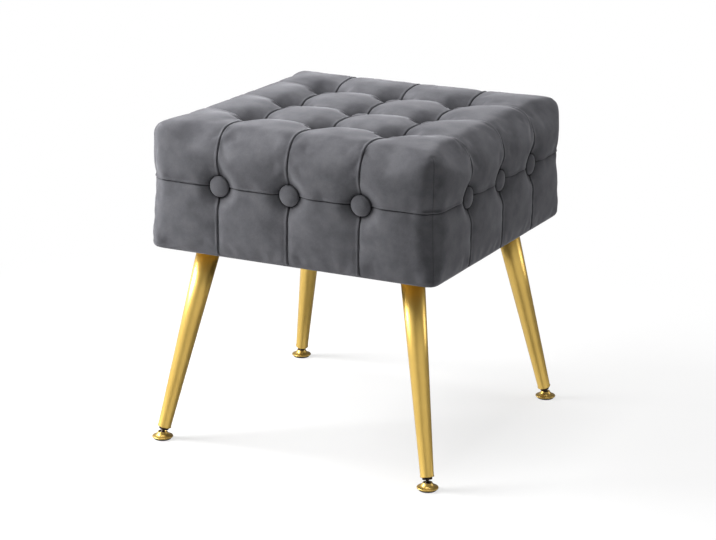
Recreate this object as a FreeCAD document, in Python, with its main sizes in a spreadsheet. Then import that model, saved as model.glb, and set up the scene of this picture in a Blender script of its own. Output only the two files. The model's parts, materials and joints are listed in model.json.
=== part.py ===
import FreeCAD, Part
import math
import os

import Sketcher

# Square button-tufted velvet stool on four splayed, tapered metal legs.
# Millimetres. +Z is up, the floor is z = 0, the front of the seat faces -Y and
# the origin lies on the floor, midway between the four feet.

# Driving dimensions
SIZES = {
    # Upholstered block
    "seat_width": 415.0,
    "seat_depth": 415.0,
    "seat_height": 173.0,
    "seam_drop": 80.0,
    "corner_radius": 12.0,
    "corner_relief": 4.4,
    "corner_pinch": 1.8,
    "puff_crown": 4.0,
    "channel_depth": 6.0,
    "channel_pinch": 1.5,
    "top_crease_depth": 11.0,
    "top_button_depth": 18.0,
    "top_edge_drop": 5.0,
    "top_form_overhang": 15.0,
    "roll_height": 27.0,
    "roll_inset": 27.0,
    "roll_overrun": 1.5,
    "tuck_height": 9.0,
    "tuck_inset": 5.0,
    "wadding": 22.0,
    "top_wadding": 36.0,
    "flap_width": 52.0,
    "flap_thickness": 1.5,
    # Buttons and their ties
    "button_margin": 106.5,
    "button_radius": 13.7,
    "button_wall": 3.0,
    "button_dome": 5.0,
    "top_button_seat": 21.0,
    "side_button_seat": 8.0,
    "top_dimple_radius": 34.0,
    "side_dimple_radius": 27.0,
    "tie_radius": 1.0,
    "tie_clearance": 0.5,
    "washer_radius": 4.4,
    "washer_thickness": 1.0,
    "washer_gap": 0.05,
    "washer_margin": 0.3,
    # Foam and timber frame
    "soft_clearance": 0.3,
    "side_foam_thickness": 18.0,
    "top_panel_thickness": 9.0,
    "base_panel_thickness": 12.0,
    "rail_thickness": 18.0,
    "block_side": 30.0,
    # Underside
    "dust_inset": 36.0,
    "dust_thickness": 0.8,
    "staple_crown": 10.0,
    "staple_leg": 6.0,
    "staple_wire": 0.7,
    "staple_edge": 6.0,
    "staple_gap": 12.5,
    # Leg plates and their screws
    "plate_side": 70.0,
    "plate_thickness": 3.0,
    "plate_corner": 6.0,
    "screw_offset": 24.0,
    "screw_radius": 2.2,
    "screw_length": 15.0,
    "screw_head_radius": 4.4,
    "screw_head_height": 2.2,
    "screw_hole_clearance": 0.4,
    # Legs
    "leg_inset": 60.0,
    "leg_splay": 15.0,
    "leg_length": 254.5,
    "leg_top_radius": 15.7,
    "leg_end_radius": 8.6,
    "leg_wall": 1.2,
    "leg_overrun": 12.0,
    "rim_bead": 0.9,
    # Levelling glides
    "plug_length": 20.0,
    "plug_clearance": 0.05,
    "thread_radius": 3.0,
    "thread_clearance": 0.05,
    "thread_length": 17.0,
    "neck_radius": 2.0,
    "collar_radius": 6.5,
    "collar_start": 6.0,
    "collar_height": 2.7,
    "collar_gap": 1.5,
    "ball_radius": 4.0,
    "ball_clearance": 0.05,
    "foot_radius": 14.0,
    "foot_rim": 1.6,
    "foot_top_radius": 6.2,
    "foot_rise": 2.8,
    "foot_floor": 1.25,
    "mouth_radius": 5.3,
    "lip_radius": 3.9,
    "lip_height": 1.5,
    "pad_radius": 11.5,
    "pad_thickness": 2.2,
}

doc = FreeCAD.newDocument("tufted_stool")
sheet = doc.addObject("Spreadsheet::Sheet", "sizes")
for row, (alias, number) in enumerate(SIZES.items(), start=1):
    sheet.set("A%d" % row, alias.replace("_", " "))
    sheet.set("B%d" % row, str(number))
    sheet.setAlias("B%d" % row, alias)
doc.recompute()


def size(alias):
    """One driving dimension, read back from the sheet."""
    return float(sheet.get(alias))


def vec(x, y, z):
    return FreeCAD.Vector(x, y, z)


UP = vec(0, 0, 1)
SIDES = ("front", "right", "back", "left")
CORNERS = {"front_left": (-1, -1), "front_right": (1, -1),
           "back_right": (1, 1), "back_left": (-1, 1)}

# Levels, from the floor upward
splay = math.radians(size("leg_splay"))
stem_drop = size("collar_start") + size("collar_height") + size("collar_gap")
ball_z = (size("pad_thickness") + size("foot_floor") + size("ball_radius")
          + size("ball_clearance"))
plate_under_z = ball_z + (size("leg_length") + stem_drop) * math.cos(splay)
dust_under_z = plate_under_z + size("plate_thickness")
underside_z = dust_under_z + size("dust_thickness")
panel_under_z = underside_z + size("flap_thickness")
rail_under_z = panel_under_z + size("base_panel_thickness")
crown_z = underside_z + size("seat_height")
seam_z = crown_z - size("seam_drop")
lining_top_z = crown_z - size("top_wadding")
foam_top_z = lining_top_z - size("soft_clearance")
rail_top_z = seam_z + size("washer_radius") + size("washer_margin")
foam_under_z = rail_top_z + size("top_panel_thickness")
top_seat_z = crown_z - size("top_button_seat")

# Half widths, from the outside inward
half_x = size("seat_width") / 2
half_y = size("seat_depth") / 2
pitch_x = half_x - size("button_margin")
pitch_y = half_y - size("button_margin")
FOAM = "(sizes.seat_%s / 2 - sizes.wadding - sizes.soft_clearance)"
FRAME = ("(sizes.seat_%s / 2 - sizes.wadding - 2 * sizes.soft_clearance"
         " - sizes.side_foam_thickness)")
lining_x = half_x - size("wadding")
lining_y = half_y - size("wadding")
foam_x = lining_x - size("soft_clearance")
foam_y = lining_y - size("soft_clearance")
frame_x = foam_x - size("side_foam_thickness") - size("soft_clearance")
frame_y = foam_y - size("side_foam_thickness") - size("soft_clearance")
inner_x = frame_x - size("rail_thickness")
inner_y = frame_y - size("rail_thickness")
RAIL_HEIGHT = ("sizes.seat_height - sizes.seam_drop + sizes.washer_radius"
               " + sizes.washer_margin - sizes.flap_thickness - sizes.base_panel_thickness")
SEAT_FOAM = ("sizes.seam_drop - sizes.washer_radius - sizes.washer_margin"
             " - sizes.top_panel_thickness - sizes.soft_clearance - sizes.top_wadding")

made = []


def keep(item, label):
    """Give a finished sub-part the name of its node."""
    item.Label = label
    made.append(item)
    return item


def bind(item, **expressions):
    """Tie properties of one object to cells of the sheet."""
    for name, expression in expressions.items():
        item.setExpression(name, expression)
    return item


def box(name, length, width, height, corner):
    """A box with bound sides and its low corner at the given point."""
    item = doc.addObject("Part::Box", name)
    bind(item, Length=length, Width=width, Height=height)
    item.Placement.Base = corner
    return item


def rod(name, radius, height, start, direction=UP):
    """A cylinder with a bound radius and height, from a point along a direction."""
    item = doc.addObject("Part::Cylinder", name)
    bind(item, Radius=radius, Height=height)
    item.Placement = FreeCAD.Placement(start, FreeCAD.Rotation(UP, direction))
    return item


def cut(name, base, tools):
    """The base with every tool taken out of it."""
    if len(tools) > 1:
        tool = doc.addObject("Part::MultiFuse", name + "_holes")
        tool.Shapes = tools
    else:
        tool = tools[0]
    item = doc.addObject("Part::Cut", name)
    item.Base = base
    item.Tool = tool
    return item


# Where a sketch starts before its constraints place it
GUESS_OFFSET = 30.0
GUESS_RADIUS = 20.0


def origin_plane(body, role):
    for feature in body.Origin.OriginFeatures:
        if feature.Role == role:
            return feature
    raise ValueError(role)


def new_sketch(body, name, role):
    sketch = body.newObject("Sketcher::SketchObject", name)
    sketch.AttachmentSupport = [(origin_plane(body, role), "")]
    sketch.MapMode = "FlatFace"
    return sketch


def pin_down(sketch, geometry, point, across, along):
    """Fix one sketch point by two expressions; "0" puts it on the axis."""
    for kind, axis, expression in (("DistanceX", -2, across), ("DistanceY", -1, along)):
        if expression == "0":
            sketch.addConstraint(Sketcher.Constraint(
                "PointOnObject", geometry, point, axis))
        else:
            index = sketch.addConstraint(Sketcher.Constraint(
                kind, geometry, point, 1.0))
            sketch.setExpression("Constraints[%d]" % index, expression)


def draw_outline(sketch, outline):
    """A closed run of straight lines through bound corner points."""
    count = len(outline)
    guess = [vec(GUESS_OFFSET + GUESS_RADIUS * math.cos(2 * math.pi * i / count),
                 GUESS_RADIUS * math.sin(2 * math.pi * i / count), 0) for i in range(count)]
    for i in range(count):
        sketch.addGeometry(Part.LineSegment(guess[i], guess[(i + 1) % count]), False)
    for i in range(count):
        sketch.addConstraint(Sketcher.Constraint("Coincident", i, 2, (i + 1) % count, 1))
    for i, (across, along) in enumerate(outline):
        pin_down(sketch, i, 1, across, along)


def turned(name, outline, place):
    """A body turned about its own Z axis from a radius and height outline."""
    body = doc.addObject("PartDesign::Body", name)
    sketch = new_sketch(body, name + "_outline", "XZ_Plane")
    draw_outline(sketch, outline)
    turn = body.newObject("PartDesign::Revolution", name + "_turn")
    turn.Profile = sketch
    turn.ReferenceAxis = (sketch, ["V_Axis"])
    turn.Angle = 360
    body.Placement = place
    return body


def slab(name, half_across, half_along, thickness, level, holes=()):
    """A flat rectangular board, centred on Z, with round holes through it."""
    body = doc.addObject("PartDesign::Body", name)
    sketch = new_sketch(body, name + "_outline", "XY_Plane")
    draw_outline(sketch, [("-" + half_across, "-" + half_along),
                          (half_across, "-" + half_along),
                          (half_across, half_along),
                          ("-" + half_across, half_along)])
    pad = body.newObject("PartDesign::Pad", name + "_pad")
    pad.Profile = sketch
    bind(pad, Length=thickness)
    if holes:
        drill = new_sketch(body, name + "_drill", "XY_Plane")
        for i, (across, along, radius) in enumerate(holes):
            drill.addGeometry(Part.Circle(vec(i, i, 0), UP, 1.0), False)
            pin_down(drill, i, 3, across, along)
            index = drill.addConstraint(Sketcher.Constraint("Radius", i, 1.0))
            drill.setExpression("Constraints[%d]" % index, radius)
        pocket = body.newObject("PartDesign::Pocket", name + "_pocket")
        pocket.Profile = drill
        pocket.Type = "ThroughAll"
        pocket.Midplane = True
    body.Placement.Base = vec(0, 0, level)
    return body


# Places of the buttons
grid = (-1, 0, 1)
top_spots = [(column * pitch_x, row * pitch_y) for row in grid for column in grid]


def side_frame(side):
    """Outward and sideways directions, reach outward and button pitch of one side."""
    return {"front": (vec(0, -1, 0), vec(1, 0, 0), half_y, pitch_x),
            "right": (vec(1, 0, 0), vec(0, 1, 0), half_x, pitch_y),
            "back": (vec(0, 1, 0), vec(-1, 0, 0), half_y, pitch_x),
            "left": (vec(-1, 0, 0), vec(0, -1, 0), half_x, pitch_y)}[side]


def side_spots(side, depth):
    """The three button places of one side, a depth inside its crown."""
    outward, sideways, reach, pitch = side_frame(side)
    return [outward * (reach - depth) + sideways * (step * pitch) + vec(0, 0, seam_z)
            for step in grid]


# Tufted velvet cover: shares and powers that shape the puffs, which the sizes scale
LOWER_STEPS = (0.0, 0.03, 0.1, 0.28, 0.5, 0.72, 0.88, 1.0)
UPPER_STEPS = (0.08, 0.2, 0.36, 0.6, 0.72, 0.82, 0.9, 0.96, 1.0)
INNER_STATIONS = (0.1, 0.3, 0.5, 0.7, 0.9)
OUTER_STATIONS = (0.1, 0.28, 0.45, 0.7, 1.0)
OUTER_CROWN_SPOT = 0.45
OUTER_CROWN_FALL = 0.6
OUTER_BULGE = 0.6
PUFF_POWER = 2.5
SEAM_POWER = 3
BOTTOM_PULL = 0.3
UPPER_PULL_REACH = 0.45


def inset_at(rise):
    """How far the crown, the channels and the corners lie in at one height."""
    edge = 0.0
    tuck = size("tuck_height")
    roll_start = size("seat_height") + size("roll_overrun") - size("roll_height")
    if rise < tuck:
        edge = size("tuck_inset") * (1 - math.sqrt(1 - (1 - rise / tuck) ** 2))
    if rise > roll_start:
        turn = min(1.0, (rise - roll_start) / size("roll_height"))
        edge = size("roll_inset") * (1 - math.sqrt(max(0.0, 1 - turn ** 2)))
    seam = seam_z - underside_z
    if rise <= seam:
        pull = abs(2 * rise / seam - 1) ** SEAM_POWER
        if rise < seam / 2:
            pull = pull * BOTTOM_PULL
    else:
        pull_height = UPPER_PULL_REACH * (size("seat_height") - seam)
        pull = max(0.0, 1 - (rise - seam) / pull_height) ** 2
    crown = edge + size("puff_crown") * pull
    channel = edge + size("channel_depth") + size("channel_pinch") * pull
    corner = edge + size("corner_relief") + size("corner_pinch") * pull
    return crown, channel, corner


def block_section(rise):
    """The outline of the block at one height: four puffs to a side."""
    crown, channel, corner = inset_at(rise)
    outer_crown = min(crown + OUTER_BULGE, (channel + corner) / 2 - OUTER_BULGE)
    bend = size("corner_radius")
    bend_middle = bend * (1 - math.sqrt(0.5))
    level = vec(0, 0, underside_z + rise)
    edges = []
    for side in SIDES:
        outward, sideways, reach, pitch = side_frame(side)
        span = half_x if side in ("front", "back") else half_y

        def spot(along, inset):
            return outward * (reach - inset) + sideways * along + level

        end = span - corner - bend
        stops = [(-end, corner)] + [(step * pitch, channel) for step in grid] + [(end, corner)]
        for i in range(4):
            start, stop = stops[i], stops[i + 1]
            rise_inset = crown if i in (1, 2) else outer_crown
            edges.append(Part.Arc(spot(*start), spot((start[0] + stop[0]) / 2, rise_inset),
                                  spot(*stop)).toShape())
        edges.append(Part.Arc(spot(end, corner),
                              spot(span - corner - bend_middle, corner + bend_middle),
                              spot(span - corner, corner + bend)).toShape())
    return Part.Wire(edges)


def crown_share(fraction, outer):
    """Height of a top puff, 0 in its creases and 1 at its crown."""
    if not outer:
        return 1 - abs(2 * fraction - 1) ** PUFF_POWER
    if fraction < OUTER_CROWN_SPOT:
        return 1 - (1 - fraction / OUTER_CROWN_SPOT) ** PUFF_POWER
    return 1 - OUTER_CROWN_FALL * ((fraction - OUTER_CROWN_SPOT) / (1 - OUTER_CROWN_SPOT)) ** 2


def top_section(y, share):
    """The outline of the top form across the seat at one station."""
    reach = half_x + size("top_form_overhang")
    crease = size("top_crease_depth")
    button = size("top_button_depth")
    crown = crown_z - crease * (1 - share)
    valley = crown_z - button + (button - crease) * share
    edge = crown - size("top_edge_drop")
    floor = underside_z - size("top_form_overhang")
    crown_spot = pitch_x + OUTER_CROWN_SPOT * (reach - pitch_x)
    stops = [(-reach, edge), (-pitch_x, valley), (0.0, valley), (pitch_x, valley),
             (reach, edge)]
    crowns = (-crown_spot, -pitch_x / 2, pitch_x / 2, crown_spot)
    edges = []
    for i in range(4):
        edges.append(Part.Arc(vec(stops[i][0], y, stops[i][1]), vec(crowns[i], y, crown),
                              vec(stops[i + 1][0], y, stops[i + 1][1])).toShape())
    corners = [vec(reach, y, edge), vec(reach, y, floor), vec(-reach, y, floor),
               vec(-reach, y, edge)]
    for i in range(3):
        edges.append(Part.LineSegment(corners[i], corners[i + 1]).toShape())
    return Part.Wire(edges)


def top_stations():
    """Stations from front to back: y and the share of the crown there."""
    reach = half_y + size("top_form_overhang")
    inner = [(f * pitch_y, crown_share(f, False)) for f in INNER_STATIONS]
    outer = [(pitch_y + f * (reach - pitch_y), crown_share(f, True))
             for f in OUTER_STATIONS]
    back_half = inner + [(pitch_y, 0.0)] + outer
    front_half = [(-y, share) for y, share in reversed(back_half)]
    return front_half + [(0.0, 0.0)] + back_half


def tufted_cover():
    """Outer form of the cover, with its lining, button dimples and tie holes."""
    seam = seam_z - underside_z
    rises = [step * seam for step in LOWER_STEPS]
    upper = size("seam_drop") + size("roll_overrun")
    rises += [seam + step * upper for step in UPPER_STEPS]
    block = Part.makeLoft([block_section(rise) for rise in rises], True, True)
    top = Part.makeLoft([top_section(y, share) for y, share in top_stations()], True, True)
    form = block.common(top)
    seat = size("button_radius") + size("soft_clearance")
    hole = size("tie_radius") + size("tie_clearance")
    lining = Part.makeBox(2 * lining_x, 2 * lining_y, lining_top_z - panel_under_z,
                          vec(-lining_x, -lining_y, panel_under_z))
    flap_x = half_x - size("flap_width")
    flap_y = half_y - size("flap_width")
    opening = Part.makeBox(2 * flap_x, 2 * flap_y, size("seat_height") / 2,
                           vec(-flap_x, -flap_y, underside_z - size("wadding")))
    tools = [lining, opening]
    for x, y in top_spots:
        tools.append(Part.makeCone(seat, size("top_dimple_radius"), size("top_button_seat"),
                                   vec(x, y, top_seat_z)))
        tools.append(Part.makeCylinder(hole, size("top_wadding"),
                                       vec(x, y, lining_top_z - size("tie_radius"))))
    for side in SIDES:
        outward = side_frame(side)[0]
        for spot in side_spots(side, size("side_button_seat")):
            tools.append(Part.makeCone(seat, size("side_dimple_radius"),
                                       size("side_button_seat"), spot, outward))
            tools.append(Part.makeCylinder(hole, 2 * size("wadding"),
                                           spot - outward * size("wadding"), outward))
    return form.cut(tools)


cover = doc.addObject("Part::Feature", "velvet_cover")
cover.Shape = tufted_cover()
cover.Placement = FreeCAD.Placement()
keep(cover, "velvet_cover")

# Covered buttons
DOME = "(sizes.button_radius ^ 2 + sizes.button_dome ^ 2) / (2 * sizes.button_dome)"
dome_radius = ((size("button_radius") ** 2 + size("button_dome") ** 2)
               / (2 * size("button_dome")))


def button(label, base, outward):
    """A domed button whose flat back lies at the base point."""
    top = size("button_wall") + size("button_dome")
    ball = doc.addObject("Part::Sphere", label + "_dome")
    bind(ball, Radius=DOME)
    ball.Placement.Base = base + outward * (top - dome_radius)
    drum = rod(label + "_drum", "sizes.button_radius",
               "sizes.button_wall + sizes.button_dome", base, outward)
    item = doc.addObject("Part::Common", label)
    item.Base = drum
    item.Tool = ball
    keep(item, label)


for index, (x, y) in enumerate(top_spots):
    button("top_button_%d_%d" % (index // 3 + 1, index % 3 + 1), vec(x, y, top_seat_z), UP)
for side in SIDES:
    spots = side_spots(side, size("side_button_seat"))
    for number, spot in enumerate(spots, start=1):
        button("%s_button_%d" % (side, number), spot, side_frame(side)[0])


def tie(start, inward, stop_distance):
    """Tufting twine from a button's back to a washer behind the board."""
    reach = stop_distance + size("washer_gap")
    twine = Part.makeCylinder(size("tie_radius"), reach + size("washer_thickness"),
                              start, inward)
    washer = Part.makeCylinder(size("washer_radius"), size("washer_thickness"),
                               start + inward * reach, inward)
    return twine.fuse(washer)


ties = [tie(vec(x, y, top_seat_z), -UP, top_seat_z - rail_top_z) for x, y in top_spots]
for side in SIDES:
    outward, sideways, reach, pitch = side_frame(side)
    inside = inner_y if side in ("front", "back") else inner_x
    for spot in side_spots(side, size("side_button_seat")):
        ties.append(tie(spot, -outward, reach - size("side_button_seat") - inside))
twines = doc.addObject("Part::Feature", "tufting_ties")
twines.Shape = Part.makeCompound(ties)
twines.Placement = FreeCAD.Placement()
keep(twines, "tufting_ties")

# Foam
TIE_HOLE = "sizes.tie_radius + sizes.tie_clearance"


def top_holes(name, level, height):
    """Nine upright tie holes under the top buttons."""
    return [rod("%s_hole_%d" % (name, i), TIE_HOLE, height, vec(x, y, level))
            for i, (x, y) in enumerate(top_spots)]


foam_block = box("seat_foam_block", "2 * " + FOAM % "width", "2 * " + FOAM % "depth",
                 SEAT_FOAM, vec(-foam_x, -foam_y, foam_under_z))
keep(cut("seat_foam", foam_block, top_holes("seat_foam", foam_under_z, SEAT_FOAM)),
     "seat_foam")


def side_holes(name, side, inner_reach, height):
    """Three level tie holes behind the buttons of one side."""
    outward, sideways, reach, pitch = side_frame(side)
    return [rod("%s_hole_%s_%d" % (name, side, step + 2), TIE_HOLE, height,
                outward * inner_reach + sideways * (step * pitch) + vec(0, 0, seam_z), outward)
            for step in grid]


SIDE_FOAM_HEIGHT = RAIL_HEIGHT + " + sizes.top_panel_thickness"
ring = box("side_foam_ring", "2 * " + FOAM % "width", "2 * " + FOAM % "depth",
           SIDE_FOAM_HEIGHT, vec(-foam_x, -foam_y, rail_under_z))
core_x = foam_x - size("side_foam_thickness")
core_y = foam_y - size("side_foam_thickness")
core = box("side_foam_core", "2 * (%s - sizes.side_foam_thickness)" % (FOAM % "width"),
           "2 * (%s - sizes.side_foam_thickness)" % (FOAM % "depth"),
           SIDE_FOAM_HEIGHT, vec(-core_x, -core_y, rail_under_z))
ring_holes = []
for side in SIDES:
    inside = core_y if side in ("front", "back") else core_x
    ring_holes += side_holes("side_foam", side, inside, "sizes.side_foam_thickness")
keep(cut("side_foam", ring, [core] + ring_holes), "side_foam")

# Timber frame
rail_boxes = {
    "front": ("2 * " + FRAME % "width", "sizes.rail_thickness", vec(-frame_x, -frame_y, 0)),
    "back": ("2 * " + FRAME % "width", "sizes.rail_thickness", vec(-frame_x, inner_y, 0)),
    "left": ("sizes.rail_thickness", "2 * (%s - sizes.rail_thickness)" % (FRAME % "depth"),
             vec(-frame_x, -inner_y, 0)),
    "right": ("sizes.rail_thickness", "2 * (%s - sizes.rail_thickness)" % (FRAME % "depth"),
              vec(inner_x, -inner_y, 0)),
}
for side, (length, width, corner) in rail_boxes.items():
    label = "rail_" + side
    plank = box(label + "_plank", length, width, RAIL_HEIGHT, corner + vec(0, 0, rail_under_z))
    inside = inner_y if side in ("front", "back") else inner_x
    keep(cut(label, plank, side_holes(label, side, inside, "sizes.rail_thickness")), label)

blocks = []
for corner, (sign_x, sign_y) in CORNERS.items():
    low_x = inner_x - size("block_side") if sign_x > 0 else -inner_x
    low_y = inner_y - size("block_side") if sign_y > 0 else -inner_y
    blocks.append(box("block_" + corner, "sizes.block_side", "sizes.block_side", RAIL_HEIGHT,
                      vec(low_x, low_y, rail_under_z)))
block_group = doc.addObject("Part::Compound", "corner_blocks")
block_group.Links = blocks
keep(block_group, "corner_blocks")

PITCH = "(sizes.seat_%s / 2 - sizes.button_margin)"
across_places = ("-" + PITCH % "width", "0", PITCH % "width")
along_places = ("-" + PITCH % "depth", "0", PITCH % "depth")
keep(slab("top_panel", FRAME % "width", FRAME % "depth", "sizes.top_panel_thickness",
          rail_top_z, [(x, y, TIE_HOLE) for y in along_places for x in across_places]),
     "top_panel")
keep(slab("base_panel", FOAM % "width", FOAM % "depth", "sizes.base_panel_thickness",
          panel_under_z), "base_panel")

# Underside cloth and its staples
keep(slab("dust_cover", "(sizes.seat_width / 2 - sizes.dust_inset)",
          "(sizes.seat_depth / 2 - sizes.dust_inset)", "sizes.dust_thickness",
          dust_under_z), "dust_cover")

STAPLES_PER_SIDE = 6


def staple(middle, sideways):
    """One staple: a crown under the cloth and two prongs up into the board."""
    crown = size("staple_crown")
    wire = size("staple_wire")
    prong = size("staple_leg")
    across = UP.cross(sideways)
    low = middle - sideways * (crown / 2) - across * (wire / 2) - UP * wire
    turn = FreeCAD.Rotation(vec(1, 0, 0), sideways)
    parts = [Part.makeBox(crown, wire, wire)]
    for start in (0, crown - wire):
        parts.append(Part.makeBox(wire, wire, prong, vec(start, 0, 0)))
    shape = parts[0].fuse(parts[1:])
    shape.Placement = FreeCAD.Placement(low, turn)
    return shape


staples = []
for side in SIDES:
    outward, sideways, reach, pitch = side_frame(side)
    line = reach - size("dust_inset") - size("staple_edge")
    span = half_x if side in ("front", "back") else half_y
    last = span - size("leg_inset") - size("plate_side") / 2 - size("staple_gap")
    for number in range(STAPLES_PER_SIDE):
        along = last * (2 * number / (STAPLES_PER_SIDE - 1) - 1)
        staples.append(staple(outward * line + sideways * along + vec(0, 0, dust_under_z),
                              sideways))
staple_group = doc.addObject("Part::Feature", "staples")
staple_group.Shape = Part.makeCompound(staples)
staple_group.Placement = FreeCAD.Placement()
keep(staple_group, "staples")

# Legs
screws = []
TAPER = "(sizes.leg_top_radius - sizes.leg_end_radius) / sizes.leg_length"


def leg_plate(label, centre):
    """Rounded steel plate with four screw holes, its underside on the leg."""
    body = doc.addObject("PartDesign::Body", label)
    sketch = new_sketch(body, label + "_outline", "XY_Plane")
    half = "sizes.plate_side / 2"
    draw_outline(sketch, [("-" + half, "-" + half), (half, "-" + half), (half, half),
                          ("-" + half, half)])
    pad = body.newObject("PartDesign::Pad", label + "_pad")
    pad.Profile = sketch
    bind(pad, Length="sizes.plate_thickness")
    doc.recompute()
    upright = []
    for i, edge in enumerate(pad.Shape.Edges, start=1):
        ends = [vertex.Point for vertex in edge.Vertexes]
        if abs(ends[0].z - ends[1].z) > size("plate_thickness") / 2:
            upright.append("Edge%d" % i)
    fillet = body.newObject("PartDesign::Fillet", label + "_corners")
    fillet.Base = (pad, upright)
    bind(fillet, Radius="sizes.plate_corner")
    drill = new_sketch(body, label + "_drill", "XY_Plane")
    drill.addGeometry(Part.Circle(vec(1, 1, 0), UP, 1.0), False)
    pin_down(drill, 0, 3, "sizes.screw_offset", "sizes.screw_offset")
    index = drill.addConstraint(Sketcher.Constraint("Radius", 0, 1.0))
    drill.setExpression("Constraints[%d]" % index,
                        "sizes.screw_radius + sizes.screw_hole_clearance")
    pocket = body.newObject("PartDesign::Pocket", label + "_pocket")
    pocket.Profile = drill
    pocket.Type = "ThroughAll"
    pocket.Midplane = True
    pattern = body.newObject("PartDesign::PolarPattern", label + "_pattern")
    pattern.Originals = [pocket]
    pattern.Axis = (drill, ["N_Axis"])
    pattern.Angle = 360
    pattern.Occurrences = 4
    body.Tip = pattern
    body.Placement.Base = centre
    keep(body, label)


def screw(centre):
    """Pan head wood screw driven up through the plate into the base board."""
    head = Part.makeCylinder(size("screw_head_radius"), size("screw_head_height"),
                             centre - UP * size("screw_head_height"))
    shank = Part.makeCylinder(size("screw_radius"), size("screw_length"), centre)
    return head.fuse(shank)


def leg(label, joint_point, up_axis):
    """Tapered tube from the glide end up to the flat underside of its plate."""
    start = joint_point - up_axis * size("leg_length")
    place = FreeCAD.Placement(start, FreeCAD.Rotation(UP, up_axis))
    skin = doc.addObject("Part::Cone", label + "_skin")
    bind(skin, Radius1="sizes.leg_end_radius",
         Radius2="sizes.leg_top_radius + %s * sizes.leg_overrun" % TAPER,
         Height="sizes.leg_length + sizes.leg_overrun")
    skin.Placement = place
    bead = doc.addObject("Part::Torus", label + "_bead")
    bind(bead, Radius1="sizes.leg_end_radius - sizes.rim_bead / 4", Radius2="sizes.rim_bead")
    bead.Placement = place
    outside = doc.addObject("Part::Fuse", label + "_outside")
    outside.Base = skin
    outside.Tool = bead
    bore = doc.addObject("Part::Cone", label + "_bore")
    bind(bore,
         Radius1="sizes.leg_end_radius - sizes.leg_wall - %s * sizes.rim_bead * 2" % TAPER,
         Radius2="sizes.leg_top_radius - sizes.leg_wall + %s * sizes.leg_overrun * 2" % TAPER,
         Height="sizes.leg_length + 2 * sizes.rim_bead + 2 * sizes.leg_overrun")
    bore.Placement = FreeCAD.Placement(start - up_axis * (2 * size("rim_bead")),
                                       place.Rotation)
    above = box(label + "_above", "2 * sizes.plate_side", "2 * sizes.plate_side",
                "sizes.plate_side", joint_point - vec(size("plate_side"),
                                                      size("plate_side"), 0))
    keep(cut(label, outside, [bore, above]), label)


def plug(label, start, up_axis):
    """Threaded insert that fills the lower end of the leg."""
    inside = "sizes.leg_end_radius - sizes.leg_wall - sizes.plug_clearance"
    bore = "sizes.thread_radius + sizes.thread_clearance"
    outline = [(bore, "0"), (inside, "0"),
               (inside + " + %s * sizes.plug_length" % TAPER, "sizes.plug_length"),
               (bore, "sizes.plug_length")]
    keep(turned(label, outline,
                FreeCAD.Placement(start, FreeCAD.Rotation(UP, up_axis))), label)


def stem(label, ball, up_axis):
    """Levelling stud: ball, neck, collar and thread on the leg's own axis."""
    low = "sizes.collar_start"
    high = "sizes.collar_start + sizes.collar_height"
    end = high + " + sizes.collar_gap + sizes.thread_length"
    outline = [("0", "0"), ("sizes.neck_radius", "0"), ("sizes.neck_radius", low),
               ("sizes.collar_radius", low), ("sizes.collar_radius", high),
               ("sizes.thread_radius", high), ("sizes.thread_radius", end), ("0", end)]
    body = turned(label, outline, FreeCAD.Placement(ball, FreeCAD.Rotation(UP, up_axis)))
    knob = body.newObject("PartDesign::AdditiveSphere", label + "_ball")
    bind(knob, Radius="sizes.ball_radius")
    body.Tip = knob
    keep(body, label)


def foot(label, ball):
    """Dished round foot with a socket that holds the stem's ball."""
    base = "-(sizes.foot_floor + sizes.ball_radius + sizes.ball_clearance)"
    outline = [("0", base), ("sizes.foot_radius", base),
               ("sizes.foot_radius", base + " + sizes.foot_rim"),
               ("sizes.foot_top_radius", "sizes.foot_rise"),
               ("sizes.mouth_radius", "sizes.foot_rise"),
               ("sizes.lip_radius", "sizes.lip_height"), ("0", "sizes.lip_height")]
    body = turned(label, outline, FreeCAD.Placement(ball, FreeCAD.Rotation()))
    socket = body.newObject("PartDesign::SubtractiveSphere", label + "_socket")
    bind(socket, Radius="sizes.ball_radius + sizes.ball_clearance")
    body.Tip = socket
    keep(body, label)


for corner, (sign_x, sign_y) in CORNERS.items():
    joint_point = vec(sign_x * (half_x - size("leg_inset")),
                      sign_y * (half_y - size("leg_inset")), plate_under_z)
    lean = math.sin(splay) / math.sqrt(2)
    up_axis = vec(-sign_x * lean, -sign_y * lean, math.cos(splay))
    leg_end = joint_point - up_axis * size("leg_length")
    ball = leg_end - up_axis * stem_drop
    leg_plate("leg_plate_" + corner, joint_point)
    leg("leg_" + corner, joint_point, up_axis)
    plug("leg_plug_" + corner, leg_end, up_axis)
    stem("glide_stem_" + corner, ball, up_axis)
    foot("glide_foot_" + corner, ball)
    keep(rod("pad_" + corner, "sizes.pad_radius", "sizes.pad_thickness",
             vec(ball.x, ball.y, 0)), "glide_pad_" + corner)
    for step_x in (-1, 1):
        for step_y in (-1, 1):
            shift = size("screw_offset")
            screws.append(screw(joint_point + vec(step_x * shift, step_y * shift, 0)))

screw_group = doc.addObject("Part::Feature", "leg_screws")
screw_group.Shape = Part.makeCompound(screws)
screw_group.Placement = FreeCAD.Placement()
keep(screw_group, "leg_screws")

# Build, test and write
doc.recompute()
for item in doc.Objects:
    if "Invalid" in item.State or "Error" in item.State:
        raise RuntimeError("%s failed: %s" % (item.Label, item.State))
for item in made:
    if item.Shape.isNull() or not item.Shape.isValid():
        raise RuntimeError("%s has no valid shape" % item.Label)
os.makedirs("parts", exist_ok=True)
for item in made:
    item.Shape.exportStep("parts/%s.step" % item.Label)
    print("%-28s %3d solid(s) %12.1f mm3" % (item.Label, len(item.Shape.Solids),
                                             item.Shape.Volume))
print("%d nodes, underside %.2f, crown %.2f, foot %.2f" % (
    len(made), underside_z, crown_z, ball.x))
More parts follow.
